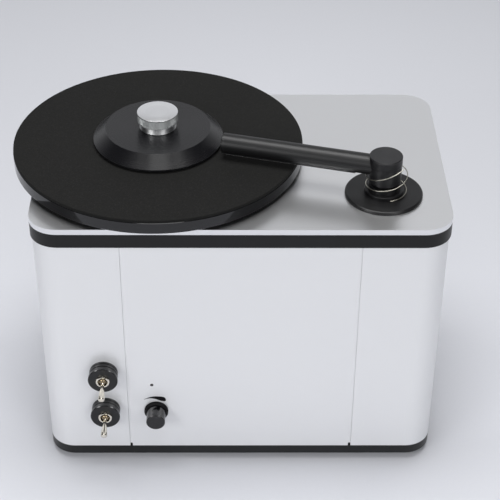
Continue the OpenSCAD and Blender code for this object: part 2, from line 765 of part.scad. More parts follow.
// The wire starts on the flange at the front, passes under the arm and ends at the right
module lift_spring() color([0.85, 0.85, 0.85]) place() at_pivot(deck_z) wire(spring_path, wire_r, 6);

// Puts a piece along the arm, x running from the pivot to the closed end
module along_arm() at_pivot(deck_z + arm_z) rotate([0, 0, arm_dir]) children();

// Arm head: stepped cylinder, bored for the bushing and cross-bored for the tube
module arm_head() color(satin_black) place() difference() {
    at_pivot(deck_z) rotate_extrude() polygon([
        [sleeve_r + run_gap, head_low], [head_r - 0.5, head_low], [head_r, head_low + 0.5],
        [head_r, head_step - 0.6], [head_top_r, head_step + 0.6], [head_top_r, head_high],
        [sleeve_r + run_gap, head_high]
    ]);
    along_arm() rotate([0, 90, 0]) cylinder(h = 2*head_top_r, r = arm_r + run_gap);
}

module arm_cap() color(satin_black) place() at_pivot(deck_z + head_high) rotate_extrude() polygon([
    [0, -3], [sleeve_r, -3], [sleeve_r, 0], [head_top_r, 0], [head_top_r, cap_t - cap_edge],
    [head_top_r - cap_edge, cap_t], [0, cap_t]
]);

// Hollow tube with the suction slot along its underside
module arm_tube() color(satin_black) place() along_arm() difference() {
    translate([arm_root, 0, 0]) rotate([0, 90, 0]) cylinder(h = tube_len, r = arm_r);
    translate([arm_root - 1, 0, 0]) rotate([0, 90, 0]) cylinder(h = tube_len + 2, r = arm_r - arm_wall);
    translate([slot_start, -slot_w/2, -arm_r - 1])
        cube([arm_len - slot_margin - slot_start, slot_w, arm_wall + 2]);
}

module arm_end_cap() color(deep_black) place() along_arm() translate([arm_len - arm_end_t, 0, 0])
    rotate([0, 90, 0]) rotate_extrude() polygon([
        [0, -4], [arm_r - arm_wall, -4], [arm_r - arm_wall, 0], [arm_r, 0],
        [arm_r, arm_end_t - 0.8], [arm_r - 0.8, arm_end_t], [0, arm_end_t]
    ]);

// Two curved strips of velvet, one on each side of the slot
module arm_pads() color(rubber_black) place() along_arm() for (side = [0, 1]) mirror([0, side, 0])
    translate([pad_start, 0, 0]) rotate([0, 90, 0]) rotate([0, 0, pad_offset])
        rotate_extrude(angle = pad_sweep) translate([arm_r, 0])
            square([pad_t, arm_len - arm_end_t - pad_start]);

// Turned black collar with two grooves and a wider rim
module switch_collar(z) color(deep_black) place() on_front(switch_x, z) rotate_extrude() polygon([
    [bush_r + run_gap, 0], [neck_r, 0],
    [neck_r, 2.2], [neck_r - groove_t, 2.2], [neck_r - groove_t, 2.2 + groove_w], [neck_r, 2.2 + groove_w],
    [neck_r, 6.2], [neck_r - groove_t, 6.2], [neck_r - groove_t, 6.2 + groove_w], [neck_r, 6.2 + groove_w],
    [neck_r, neck_len - rim_t], [rim_r, neck_len - rim_t + 0.6], [rim_r, neck_len - 0.6],
    [rim_r - 0.6, neck_len], [bush_r + run_gap, neck_len]
]);

// Threaded bush and its ring nut, with the mouth that the lever swings in
module switch_bush(z) color(nickel) place() on_front(switch_x, z) rotate_extrude() polygon([
    [0, -sheet_t], [bush_r, -sheet_t], [bush_r, neck_len], [nut_r, neck_len],
    [nut_r, neck_len + nut_t - 1], [nut_r - 0.4, neck_len + nut_t - 0.3], [nut_r - 1, neck_len + nut_t],
    [mouth_r + 0.3, neck_len + nut_t], [mouth_r, neck_len + nut_t - 0.4],
    [mouth_r, lever_pivot - ball_r - 0.4], [0, lever_pivot - ball_r - 0.4]
]);

// Switch case behind the sheet with its three solder tags
module switch_body(z) color([0.25, 0.12, 0.08]) place() {
    translate([switch_x - case_w/2, front_y + sheet_t, z - case_h/2]) cube([case_w, case_t, case_h]);
    for (k = [-1, 0, 1])
        translate([switch_x - 3, front_y + sheet_t + case_t, z + 11*k - 0.5]) cube([6, 9, 1]);
}

// Bat lever, tilted down, swelling from its ball to its tip, with the pin that it turns on
module lever(z) color(nickel) place() translate([switch_x, front_y - lever_pivot, z])
    rotate([90 + lever_tilt, 0, 0]) union() {
        sphere(ball_r);
        rotate([0, 90, 0]) cylinder(h = 2*(mouth_r - soft_gap), r = lever_pin_r, center = true);
        rotate_extrude() polygon([
            [0, 0], [lever_root_r + 0.6, 3], [lever_root_r, ball_r + 1], [lever_root_r + 0.3, ball_r + 4],
            [lever_tip_r, lever_len - 4], [lever_tip_r, lever_len - tip_round],
            [lever_tip_r - 0.5, lever_len - 0.5], [lever_tip_r - tip_round, lever_len], [0, lever_len]
        ]);
    }

module upper_switch_collar() switch_collar(switch_high);
module upper_switch_bush() switch_bush(switch_high);
module upper_switch_body() switch_body(switch_high);
module upper_lever() lever(switch_high);
module lower_switch_collar() switch_collar(switch_low);
module lower_switch_bush() switch_bush(switch_low);
module lower_switch_body() switch_body(switch_low);
module lower_lever() lever(switch_low);

// Speed knob with a bevelled skirt
module speed_knob() color(deep_black) place() on_front(speed_x, speed_z) rotate_extrude() polygon([
    [pot_shaft_r, knob_lift], [skirt_r, knob_lift], [skirt_r, skirt_t - 1.6], [skirt_r - 1.8, skirt_t],
    [grip_r + 0.2, skirt_t], [grip_r, grip_len - 0.8], [grip_r - 0.8, grip_len], [0, grip_len],
    [0, grip_len - 5], [pot_shaft_r, grip_len - 5]
]);

module speed_control_shaft() color(steel) place() on_front(speed_x, speed_z)
    translate([0, 0, -sheet_t - 8.95]) cylinder(h = sheet_t + 8.95 + grip_len - 5.2, r = pot_shaft_r);

module speed_control() color(zinc) place() on_front(speed_x, speed_z) {
    rotate_extrude() polygon([
        [pot_shaft_r + run_gap, -sheet_t - 9], [pot_can_r, -sheet_t - 9], [pot_can_r, -sheet_t],
        [pot_bush_r, -sheet_t], [pot_bush_r, 0.3], [pot_shaft_r + run_gap, 0.3]
    ]);
    translate([0, 0, -sheet_t - 12]) cylinder(h = 3, r = pot_can_r);
    translate([-6, -pot_can_r - 8, -sheet_t - 7]) cube([12, 9, 1.6]);
}

module indicator_lamp() color([0.12, 0.1, 0.12]) place() on_front(lamp_x, lamp_z) rotate_extrude() polygon([
    [0, -sheet_t - 4], [lamp_r + 1, -sheet_t - 4], [lamp_r + 1, -sheet_t], [lamp_r, -sheet_t],
    [lamp_r, 0.1], [lamp_r - 0.4, 0.5], [0, 0.7]
]);

// Quarter bend of a hose in the XZ plane, round a middle, starting at an angle
module bend(x, z, start, r) translate([x, 0, z]) rotate([90, 0, 0]) rotate([0, 0, start])
    rotate_extrude(angle = 90) translate([hose_bend, 0]) circle(r);

// Level stretch of a hose between two bends
module level_run(x0, x1, z, r) translate([x0, 0, z]) rotate([0, 90, 0]) cylinder(h = x1 - x0, r = r);

// Hose that drops from the right, runs level and drops again on the left
module dropping_hose(right, high, left, low, level, r) {
    translate([right, 0, level + hose_bend]) cylinder(h = high - level - hose_bend, r = r);
    bend(right - hose_bend, level + hose_bend, -90, r);
    level_run(left + hose_bend, right - hose_bend, level, r);
    bend(left + hose_bend, level - hose_bend, 90, r);
    translate([left, 0, low]) cylinder(h = level - hose_bend - low, r = r);
}

// Hose that rises on the left, runs level and drops on the right
module arched_hose(left, low_left, right, low_right, level, r) {
    translate([left, 0, low_left]) cylinder(h = level - hose_bend - low_left, r = r);
    bend(left + hose_bend, level - hose_bend, 90, r);
    level_run(left + hose_bend, right - hose_bend, level, r);
    bend(right - hose_bend, level - hose_bend, 0, r);
    translate([right, 0, low_right]) cylinder(h = level - hose_bend - low_right, r = r);
}

// Hose from the foot of the suction post to the tank
module suction_hose() color(rubber_black) place() translate([0, pivot_y, 0]) difference() {
    dropping_hose(pivot_x, hose_high, tank_x, hose_low, hose_level, hose_r);
    dropping_hose(pivot_x, hose_high + 1, tank_x, hose_low - 1, hose_level, hose_bore_r);
}

// Hose from the tank to the intake of the vacuum motor
module air_hose() color(rubber_black) place() translate([0, vac_y, 0]) difference() {
    arched_hose(tank_x, hose_low, vac_x, air_low, air_level, hose_r);
    arched_hose(tank_x, hose_low - 1, vac_x, air_low - 1, air_level, hose_bore_r);
}

module spigot(x, y, z, len) translate([x, y, z]) cylinder(h = len, r = spigot_r);
module spigot_bore(x, y, z, len) translate([x, y, z - tank_wall - 1])
    cylinder(h = len + tank_wall + 2, r = spigot_bore_r);

// Moulded tank with two spigots on top and a drain at the rear
module waste_tank() color([0.75, 0.77, 0.78]) place() difference() {
    union() {
        translate([tank_x, tank_y, 0]) round_slab(tank_w, tank_d, 8, base_t, tank_h);
        spigot(tank_x, pivot_y, tank_top - 1, spigot_len + 1);
        spigot(tank_x, vac_y, tank_top - 1, spigot_len + 1);
    }
    translate([tank_x, tank_y, 0])
        round_slab(tank_w - 2*tank_wall, tank_d - 2*tank_wall, 8 - tank_wall, base_t + tank_wall, tank_h - 2*tank_wall);
    spigot_bore(tank_x, pivot_y, tank_top, spigot_len);
    spigot_bore(tank_x, vac_y, tank_top, spigot_len);
    translate([tank_x, tank_y + tank_d/2 - tank_wall - 1, drain_z]) rotate([-90, 0, 0])
        cylinder(h = tank_wall + 2, r = drain_r + run_gap);
}

// Vacuum motor: fan case below, motor above, air intake on top
module vacuum_motor() color(zinc) place() translate([vac_x, vac_y, 0]) difference() {
    rotate_extrude() polygon([
        [0, vac_z], [vac_r - 3, vac_z], [vac_r, vac_z + 3], [vac_r, vac_z + vac_case_h - 6],
        [vac_r - 10, vac_z + vac_case_h], [vac_r - 16, vac_z + vac_case_h], [vac_r - 16, vac_top - 6],
        [vac_r - 22, vac_top], [spigot_r, vac_top], [spigot_r, vac_top + vac_spigot_len],
        [spigot_bore_r, vac_top + vac_spigot_len], [spigot_bore_r, vac_top - 20], [0, vac_top - 20]
    ]);
    for (k = [0:11]) rotate([0, 0, 30*k]) translate([vac_r - 18, -3, vac_z + vac_case_h + 10])
        cube([6, 6, vac_top_h - 26]);
}

module vacuum_mount() color(rubber_black) place() translate([vac_x, vac_y, base_t]) difference() {
    cylinder(h = vac_mount_t, r = vac_r - 4);
    translate([0, 0, -1]) cylinder(h = vac_mount_t + 2, r = vac_r - 14);
}

// Square duct from the fan case to the grille
module exhaust_duct() color(rubber_black) place() difference() {
    translate([grille_x - duct_w/2, vac_y, grille_z - duct_h/2])
        cube([duct_w, rear_y - sheet_t - vac_y, duct_h]);
    translate([grille_x - duct_w/2 + 2, vac_y - 1, grille_z - duct_h/2 + 2])
        cube([duct_w - 4, rear_y - vac_y + 2, duct_h - 4]);
    translate([vac_x, vac_y, 0]) cylinder(h = vac_top, r = vac_r);
}

// Grille with level slots over the exhaust opening
module exhaust_grille() color(deep_black) place() difference() {
    translate([grille_x, rear_y + 2.5, grille_z]) rotate([90, 0, 0]) linear_extrude(2.5) difference() {
        round_rect(grille_w, grille_h, 4);
        for (k = [0:grille_slots - 1])
            translate([0, (k - (grille_slots - 1)/2)*slot_pitch]) round_rect(grille_w - 22, slot_pitch/2, slot_pitch/4 - 0.01);
    }
}

// Mains inlet: flange, body and the shaped socket with bevelled upper corners
module socket_shape() polygon([
    [-socket_w/2, -socket_h/2], [socket_w/2, -socket_h/2], [socket_w/2, socket_h/2 - 5],
    [socket_w/2 - 5, socket_h/2], [-socket_w/2 + 5, socket_h/2], [-socket_w/2, socket_h/2 - 5]
]);
module mains_inlet() color(deep_black) place() translate([inlet_x, rear_y, inlet_z]) difference() {
    union() {
        translate([0, inlet_flange_t, 0]) rotate([90, 0, 0]) linear_extrude(inlet_flange_t)
            round_rect(inlet_flange_w, inlet_flange_h, 4);
        translate([-inlet_body_w/2, -inlet_depth, -inlet_body_h/2])
            cube([inlet_body_w, inlet_depth + 0.5, inlet_body_h]);
    }
    translate([0, inlet_flange_t + 1, 0]) rotate([90, 0, 0]) linear_extrude(socket_d + 1) socket_shape();
}

// Three blades standing in the socket
module inlet_pins() color(nickel) place() translate([inlet_x, rear_y + inlet_flange_t - socket_d, inlet_z])
    for (p = [[-7, -2], [7, -2], [0, 2.5]])
        translate([p.x - 1, 0, p.y - 2]) cube([2, socket_d - pin_short, 4]);

// Spout from the tank through the rear panel
module drain_spout() color([0.8, 0.8, 0.8]) place() translate([tank_x, 0, drain_z]) rotate([-90, 0, 0]) difference() {
    union() {
        translate([0, 0, tank_y + tank_d/2 - tank_wall])
            cylinder(h = rear_y + drain_out - tank_y - tank_d/2 + tank_wall, r = drain_r);
        translate([0, 0, tank_y + tank_d/2]) cylinder(h = 2, r = drain_r + 3);
    }
    translate([0, 0, tank_y]) cylinder(h = rear_y + drain_out, r = drain_r - 2);
}

// Push-on cap of the drain spout
module drain_cap() color(rubber_black) place() on_rear(tank_x, drain_z) rotate_extrude() polygon([
    [drain_r + run_gap, 1], [drain_r + 2.5, 1], [drain_r + 2.5, drain_out + 2], [drain_r + 1.5, drain_out + 3],
    [0, drain_out + 3], [0, drain_out + 0.2], [drain_r + run_gap, drain_out + 0.2]
]);

// Speed and supply board on four spacers, left of the tank
module control_board() color([0.1, 0.35, 0.2]) place() translate([board_x, board_y, 0]) {
    translate([-pcb_w/2, -pcb_d/2, pcb_z]) cube([pcb_w, pcb_d, pcb_t]);
    at_corners(pcb_w/2 - 5, pcb_d/2 - 5) translate([0, 0, base_t]) cylinder(h = spacer_h, r = 3);
}

// Transformer, capacitors, finned heat sink and relay on the board
module board_parts() color([0.2, 0.2, 0.22]) place() translate([board_x, board_y, pcb_z + pcb_t]) {
    translate([-transformer.x/2 - 4, 10, 0]) cube(transformer);
    for (k = [-1:1]) translate([20*k - 2, -8, 0]) cylinder(h = capacitor_h, r = capacitor_r);
    translate([-sink.x/2 - 3, -pcb_d/2 + 16 + sink.y - 4, 0]) cube([sink.x, 4, sink.z]);
    for (k = [0:sink_fins - 1]) translate([-sink.x/2 - 2 + k*(sink.x - 4)/(sink_fins - 1), -pcb_d/2 + 16, 0])
        cube([2, sink.y - 4, sink.z]);
    translate([8, -pcb_d/2 + 16 + sink.y, 0]) cube(relay);
}

base_plate();
rubber_feet();
foot_screws();
corner_posts();
post_screws();
left_side_shell();
right_side_shell();
front_panel();
rear_panel();
seam_cleats();
rear_panel_screws();
deck_board();
top_plate();
platter();
platter_mat();
spindle();
spindle_bearing();
drive_coupling();
motor_shaft();
platter_motor();
motor_bracket();
clamp_disc();
clamp_seal();
clamp_knob();
clamp_retainer();
post_flange();
suction_post();
post_nut();
pivot_bushing();
lift_spring();
arm_head();
arm_cap();
arm_tube();
arm_end_cap();
arm_pads();
upper_switch_collar();
upper_switch_bush();
upper_switch_body();
upper_lever();
lower_switch_collar();
lower_switch_bush();
lower_switch_body();
lower_lever();
speed_knob();
speed_control_shaft();
speed_control();
indicator_lamp();
suction_hose();
waste_tank();
air_hose();
vacuum_motor();
vacuum_mount();
exhaust_duct();
exhaust_grille();
mains_inlet();
inlet_pins();
drain_spout();
drain_cap();
control_board();
board_parts();
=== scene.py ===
# Record cleaning machine: finishes, fine pieces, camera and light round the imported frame
import math

import bmesh
import bpy
from mathutils import Matrix, Vector


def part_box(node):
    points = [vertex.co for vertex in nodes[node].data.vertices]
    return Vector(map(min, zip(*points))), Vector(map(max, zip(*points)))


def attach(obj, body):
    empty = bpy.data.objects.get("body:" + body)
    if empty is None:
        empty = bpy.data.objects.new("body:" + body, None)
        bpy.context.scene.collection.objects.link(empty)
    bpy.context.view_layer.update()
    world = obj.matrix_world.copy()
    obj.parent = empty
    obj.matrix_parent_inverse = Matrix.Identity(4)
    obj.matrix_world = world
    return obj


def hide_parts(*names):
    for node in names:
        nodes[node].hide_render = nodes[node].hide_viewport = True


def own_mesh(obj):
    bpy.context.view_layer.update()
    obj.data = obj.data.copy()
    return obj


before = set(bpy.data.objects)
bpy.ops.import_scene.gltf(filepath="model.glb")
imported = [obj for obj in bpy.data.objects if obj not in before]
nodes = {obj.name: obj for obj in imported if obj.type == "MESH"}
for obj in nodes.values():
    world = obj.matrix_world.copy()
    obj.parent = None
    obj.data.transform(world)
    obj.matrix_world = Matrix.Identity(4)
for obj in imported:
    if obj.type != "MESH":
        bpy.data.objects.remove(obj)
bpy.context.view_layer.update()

print("frame loaded:", len(nodes), "nodes")

# Camera, solved from the outlines of mat, deck and body
view = {
    "lens": 101.596, "sensor": 36.0, "place": (0.009294, -1.247597, 1.094605),
    "pitchDown": 35.8730, "yaw": 0.6431, "roll": 0.4217, "reach": 40.0,
}


def setCamera(v):
    data = bpy.data.cameras.new("benchCamera")
    data.lens = v["lens"]
    data.sensor_width = v["sensor"]
    data.clip_end = v["reach"]
    camera = bpy.data.objects.new("benchCamera", data)
    bpy.context.scene.collection.objects.link(camera)
    turn = Matrix.Rotation(math.radians(-v["yaw"]), 4, "Z")
    tilt = Matrix.Rotation(math.radians(90 - v["pitchDown"]), 4, "X")
    roll = Matrix.Rotation(math.radians(v["roll"]), 4, "Z")
    camera.matrix_world = Matrix.Translation(v["place"]) @ turn @ tilt @ roll
    bpy.context.scene.camera = camera


setCamera(view)
print("camera set")


# Small helpers for node trees
def plug(tree, node, inputs):
    for key, value in inputs.items():
        if isinstance(value, bpy.types.NodeSocket):
            tree.links.new(value, node.inputs[key])
        else:
            node.inputs[key].default_value = value
    return node


def addNode(tree, kind, inputs=None, **settings):
    node = tree.nodes.new(kind)
    for key, value in settings.items():
        setattr(node, key, value)
    return plug(tree, node, inputs or {})


def calc(tree, operation, first, second=0.0, clamp=False):
    return addNode(
        tree, "ShaderNodeMath", {0: first, 1: second}, operation=operation, use_clamp=clamp).outputs[0]


def vectorCalc(tree, operation, first, second=(0, 0, 0)):
    return addNode(tree, "ShaderNodeVectorMath", {0: first, 1: second}, operation=operation).outputs


def noise(tree, inputs, **settings):
    return addNode(tree, "ShaderNodeTexNoise", inputs, **settings).outputs[0]


def remap(tree, value, low, high, newLow=0.0, newHigh=1.0):
    node = addNode(tree, "ShaderNodeMapRange", {0: value, 1: low, 2: high, 3: newLow, 4: newHigh})
    return node.outputs[0]


def blendColour(tree, factor, first, second):
    return addNode(tree, "ShaderNodeMix", {0: factor, 6: first, 7: second}, data_type="RGBA").outputs[2]


def newGroup(name, inputs, outputs):
    tree = bpy.data.node_groups.new(name, "ShaderNodeTree")
    for label, kind, value in inputs:
        socket = tree.interface.new_socket(name=label, in_out="INPUT", socket_type="NodeSocket" + kind)
        socket.default_value = value
    for label, kind in outputs:
        tree.interface.new_socket(name=label, in_out="OUTPUT", socket_type="NodeSocket" + kind)
    return tree, tree.nodes.new("NodeGroupInput").outputs, tree.nodes.new("NodeGroupOutput")


def pieceCoordinates(tree):
    return addNode(tree, "ShaderNodeTexCoord").outputs["Object"]


# Fine even grain of blasted, moulded or painted faces
grainMix = {"fineDetail": 3.0, "wideDetail": 2.0, "wideScale": 0.2, "wideShare": 0.4, "tone": (0.3, 0.7)}


def makeFineGrain(s):
    tree, given, out = newGroup(
        "fineGrain", [("Scale", "Float", 2000.0)], [("Height", "Float"), ("Tone", "Float")])
    place = pieceCoordinates(tree)
    fine = noise(tree, {"Vector": place, "Scale": given["Scale"], "Detail": s["fineDetail"]})
    wideScale = calc(tree, "MULTIPLY", given["Scale"], s["wideScale"])
    wide = noise(tree, {"Vector": place, "Scale": wideScale, "Detail": s["wideDetail"]})
    swell = calc(tree, "MULTIPLY", wide, s["wideShare"])
    plug(tree, out, {"Height": calc(tree, "ADD", fine, swell), "Tone": remap(tree, fine, *s["tone"])})
    return tree


# Rings that a lathe leaves, round any centre and axis
ringMix = {"cutDetail": 2.0, "bandDetail": 1.0, "bandScale": 0.09, "tone": (0.7, 1.3)}


def makeTurnedRings(s):
    tree, given, out = newGroup(
        "turnedRings",
        [("Centre", "Vector", (0, 0, 0)), ("Turn", "Vector", (0, 0, 0)), ("Scale", "Float", 3000.0)],
        [("Height", "Float"), ("Tone", "Float")])
    turned = addNode(
        tree, "ShaderNodeVectorRotate",
        {"Vector": pieceCoordinates(tree), "Center": given["Centre"], "Rotation": given["Turn"]},
        rotation_type="EULER_XYZ")
    offset = vectorCalc(tree, "SUBTRACT", turned.outputs[0], given["Centre"])[0]
    flat = vectorCalc(tree, "MULTIPLY", offset, (1, 1, 0))[0]
    radius = vectorCalc(tree, "LENGTH", flat)["Value"]
    along = addNode(tree, "ShaderNodeSeparateXYZ", {0: offset}).outputs["Z"]
    run = calc(tree, "ADD", radius, along)
    cut = noise(tree, {"W": run, "Scale": given["Scale"], "Detail": s["cutDetail"]}, noise_dimensions="1D")
    bandScale = calc(tree, "MULTIPLY", given["Scale"], s["bandScale"])
    band = noise(tree, {"W": run, "Scale": bandScale, "Detail": s["bandDetail"]}, noise_dimensions="1D")
    plug(tree, out, {"Height": cut, "Tone": remap(tree, calc(tree, "ADD", cut, band), *s["tone"])})
    return tree


# Lines of rolled or brushed metal: noise pulled out along one direction
lineMix = {"detail": 3.0, "tone": (0.3, 0.7)}


def makeDrawnLines(s):
    tree, given, out = newGroup(
        "drawnLines", [("Pull", "Vector", (1, 1, 1)), ("Scale", "Float", 900.0)],
        [("Height", "Float"), ("Tone", "Float")])
    pulled = vectorCalc(tree, "MULTIPLY", pieceCoordinates(tree), given["Pull"])[0]
    line = noise(tree, {"Vector": pulled, "Scale": given["Scale"], "Detail": s["detail"]})
    plug(tree, out, {"Height": line, "Tone": remap(tree, line, *s["tone"])})
    return tree


# Where hands and cloths rub the finish: sharp edges, broken up by noise
edgeMix = {
    "samples": 4, "facing": (0.995, 0.8), "patchScale": 160.0, "patchDetail": 4.0, "patch": (0.35, 0.65),
}


def makeRubbedEdge(s):
    tree, given, out = newGroup(
        "rubbedEdge", [("Width", "Float", 0.0006), ("Amount", "Float", 0.5)], [("Mask", "Float")])
    soft = addNode(tree, "ShaderNodeBevel", {"Radius": given["Width"]}, samples=s["samples"]).outputs[0]
    plain = addNode(tree, "ShaderNodeNewGeometry").outputs["Normal"]
    facing = vectorCalc(tree, "DOT_PRODUCT", soft, plain)["Value"]
    edge = remap(tree, facing, *s["facing"])
    patch = noise(
        tree, {"Vector": pieceCoordinates(tree), "Scale": s["patchScale"], "Detail": s["patchDetail"]})
    worn = calc(tree, "MULTIPLY", edge, remap(tree, patch, *s["patch"]))
    plug(tree, out, {"Mask": calc(tree, "MULTIPLY", worn, given["Amount"], clamp=True)})
    return tree


# Thin dust on faces that look up
dustMix = {
    "lying": (0.5, 1.0), "speckScale": 700.0, "speckDetail": 5.0, "speckRough": 0.7, "speck": (0.52, 0.75),
    "colour": (0.40, 0.39, 0.37, 1.0),
}


def makeSettledDust(s):
    tree, given, out = newGroup("settledDust", [("Amount", "Float", 0.1)], [("Mask", "Float")])
    normal = addNode(tree, "ShaderNodeNewGeometry").outputs["Normal"]
    up = addNode(tree, "ShaderNodeSeparateXYZ", {0: normal}).outputs["Z"]
    speck = noise(tree, {
        "Vector": pieceCoordinates(tree), "Scale": s["speckScale"], "Detail": s["speckDetail"],
        "Roughness": s["speckRough"]})
    both = calc(tree, "MULTIPLY", remap(tree, up, *s["lying"]), remap(tree, speck, *s["speck"]))
    plug(tree, out, {"Mask": calc(tree, "MULTIPLY", both, given["Amount"], clamp=True)})
    return tree


# Slow drift of tone over a large face
driftMix = {"detail": 2.0, "middle": 0.5}


def makeToneDrift(s):
    tree, given, out = newGroup(
        "toneDrift",
        [("Colour", "Color", (1, 1, 1, 1)), ("Amount", "Float", 0.05), ("Scale", "Float", 8.0)],
        [("Colour", "Color")])
    cloud = noise(tree, {"Vector": pieceCoordinates(tree), "Scale": given["Scale"], "Detail": s["detail"]})
    swing = calc(tree, "MULTIPLY", calc(tree, "SUBTRACT", cloud, s["middle"]), given["Amount"])
    shifted = addNode(
        tree, "ShaderNodeHueSaturation", {"Value": calc(tree, "ADD", swing, 1.0), "Color": given["Colour"]})
    plug(tree, out, {"Colour": shifted.outputs[0]})
    return tree


groups = {
    "grain": makeFineGrain(grainMix), "rings": makeTurnedRings(ringMix), "lines": makeDrawnLines(lineMix),
    "edge": makeRubbedEdge(edgeMix), "dust": makeSettledDust(dustMix), "drift": makeToneDrift(driftMix),
}
print("shared node groups ready:", ", ".join(groups))


def useGroup(tree, which, inputs):
    return plug(tree, addNode(tree, "ShaderNodeGroup", node_tree=groups[which]), inputs).outputs


# A look may hold grain (scale, depth, tint), rings (centre, turn, scale, depth, tint), lines (pull, scale,
# depth, tint), edge (width, amount, bare colour), turned (axis, amount of anisotropy) and dust (amount).
plainSockets = {
    "metallic": "Metallic", "specular": "Specular IOR Level", "coat": "Coat Weight",
    "coatRough": "Coat Roughness", "sheen": "Sheen Weight", "sheenRough": "Sheen Roughness",
    "subsurface": "Subsurface Weight",
}
patternInputs = {
    "grain": ("Scale",), "rings": ("Centre", "Turn", "Scale"), "lines": ("Pull", "Scale"),
}
commonLook = {"drift": 0.06, "driftScale": 9.0, "roughSpan": 0.08, "toneShare": 0.5, "acrossRings": 0.25}


# One finish from its settings: plain values go on the shader's own sockets, patterns come from the groups
def makeFinish(name, ownLook):
    look = {**commonLook, **ownLook}
    material = bpy.data.materials.new(name)
    material.use_nodes = True
    tree = material.node_tree
    shader = tree.nodes["Principled BSDF"]
    for key, socket in plainSockets.items():
        if key in look:
            shader.inputs[socket].default_value = look[key]
    paint = useGroup(tree, "drift", {
        "Colour": (*look["colour"], 1.0), "Amount": look["drift"], "Scale": look["driftScale"]})["Colour"]
    normal = None
    tone = None
    for which, inputNames in patternInputs.items():
        if which not in look:
            continue
        *values, depth, tint = look[which]
        pattern = useGroup(tree, which, dict(zip(inputNames, values)))
        tone = pattern["Tone"]
        darker = (*[channel * (1 - tint) for channel in look["colour"]], 1.0)
        paint = blendColour(tree, calc(tree, "MULTIPLY", tone, look["toneShare"]), paint, darker)
        bump = addNode(tree, "ShaderNodeBump", {"Height": pattern["Height"], "Distance": depth})
        if normal is not None:
            tree.links.new(normal, bump.inputs["Normal"])
        normal = bump.outputs[0]
    if "turned" in look:
        axis, amount = look["turned"]
        shader.inputs["Anisotropic"].default_value = amount
        shader.inputs["Anisotropic Rotation"].default_value = look["acrossRings"]
        around = addNode(tree, "ShaderNodeTangent", direction_type="RADIAL", axis=axis)
        tree.links.new(around.outputs[0], shader.inputs["Tangent"])
    if "edge" in look:
        width, amount, bare = look["edge"]
        rubbed = useGroup(tree, "edge", {"Width": width, "Amount": amount})
        paint = blendColour(tree, rubbed["Mask"], paint, (*bare, 1.0))
    if "dust" in look:
        dusty = useGroup(tree, "dust", {"Amount": look["dust"]})
        paint = blendColour(tree, dusty["Mask"], paint, dustMix["colour"])
    span = look["roughSpan"] / 2
    plug(tree, shader, {
        "Base Color": paint, "Normal": normal,
        "Roughness": remap(tree, tone, 0.0, 1.0, look["rough"] - span, look["rough"] + span)})
    return material


def makeFinishes(prefix, looks):
    return {key: makeFinish(prefix + key[0].upper() + key[1:], look) for key, look in looks.items()}


def dress(names, material):
    for name in names:
        nodes[name].data.materials.clear()
        nodes[name].data.materials.append(material)


def centreOf(name):
    low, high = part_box(name)
    return (low + high) / 2


def softenEdges(names, s):
    for name in names:
        bevel = nodes[name].modifiers.new("softEdge", "BEVEL")
        bevel.width = s["width"]
        bevel.segments = s["segments"]
        bevel.limit_method = "ANGLE"
        bevel.angle_limit = math.radians(s["degrees"])
        bevel.harden_normals = True


# Where turned rings have their centres, and which way their axes turn
platterAt = tuple(centreOf("platter_mat"))
postAt = tuple(centreOf("post_flange"))
upright = (0.0, 0.0, 0.0)
facingOut = (math.pi / 2, 0.0, 0.0)

# Case: satin sheets, blasted plate and the black boards that hold them
caseLook = {
    "sheet": {
        "colour": (0.77, 0.775, 0.79), "metallic": 0.28, "rough": 0.36, "drift": 0.02, "driftScale": 3.0,
        "grain": (2600.0, 0.00002, 0.05)},
    "plate": {
        "colour": (0.86, 0.865, 0.875), "metallic": 1.0, "rough": 0.325, "drift": 0.03, "driftScale": 5.0,
        "grain": (3200.0, 0.00004, 0.12), "edge": (0.0005, 0.5, (0.86, 0.86, 0.86))},
    "board": {
        "colour": (0.004, 0.004, 0.0045), "rough": 0.40, "specular": 0.32, "grain": (1500.0, 0.00004, 0.3),
        "edge": (0.0005, 0.35, (0.09, 0.09, 0.09))},
    "base": {
        "colour": (0.005, 0.0055, 0.006), "rough": 0.34, "specular": 0.4, "grain": (1500.0, 0.00004, 0.3),
        "edge": (0.0005, 0.35, (0.09, 0.09, 0.09))},
    "cleat": {"colour": (0.03, 0.03, 0.03), "rough": 0.7, "grain": (900.0, 0.00006, 0.3)},
    "frame": {
        "colour": (0.58, 0.59, 0.60), "metallic": 1.0, "rough": 0.38,
        "lines": ((1, 1, 0.05), 1400.0, 0.00003, 0.25)},
    "zinc": {
        "colour": (0.60, 0.61, 0.63), "metallic": 1.0, "rough": 0.32, "grain": (2400.0, 0.00003, 0.2),
        "edge": (0.0004, 0.5, (0.8, 0.8, 0.8))},
    "foot": {
        "colour": (0.022, 0.022, 0.022), "rough": 0.78, "specular": 0.35, "grain": (900.0, 0.0001, 0.35),
        "dust": 0.25},
}
softEdge = {"width": 0.0005, "segments": 2, "degrees": 40}
caseFinish = makeFinishes("case", caseLook)
dress(["left_side_shell", "right_side_shell", "front_panel", "rear_panel"], caseFinish["sheet"])
dress(["top_plate"], caseFinish["plate"])
dress(["deck_board"], caseFinish["board"])
dress(["base_plate"], caseFinish["base"])
dress(["seam_cleats"], caseFinish["cleat"])
dress(["corner_posts", "motor_bracket", "drive_coupling"], caseFinish["frame"])
dress(["foot_screws", "post_screws", "rear_panel_screws", "clamp_retainer", "post_nut"], caseFinish["zinc"])
dress(["rubber_feet", "clamp_seal", "vacuum_mount"], caseFinish["foot"])
softenEdges(["top_plate", "deck_board", "base_plate", "platter_mat"], softEdge)
print("case dressed")

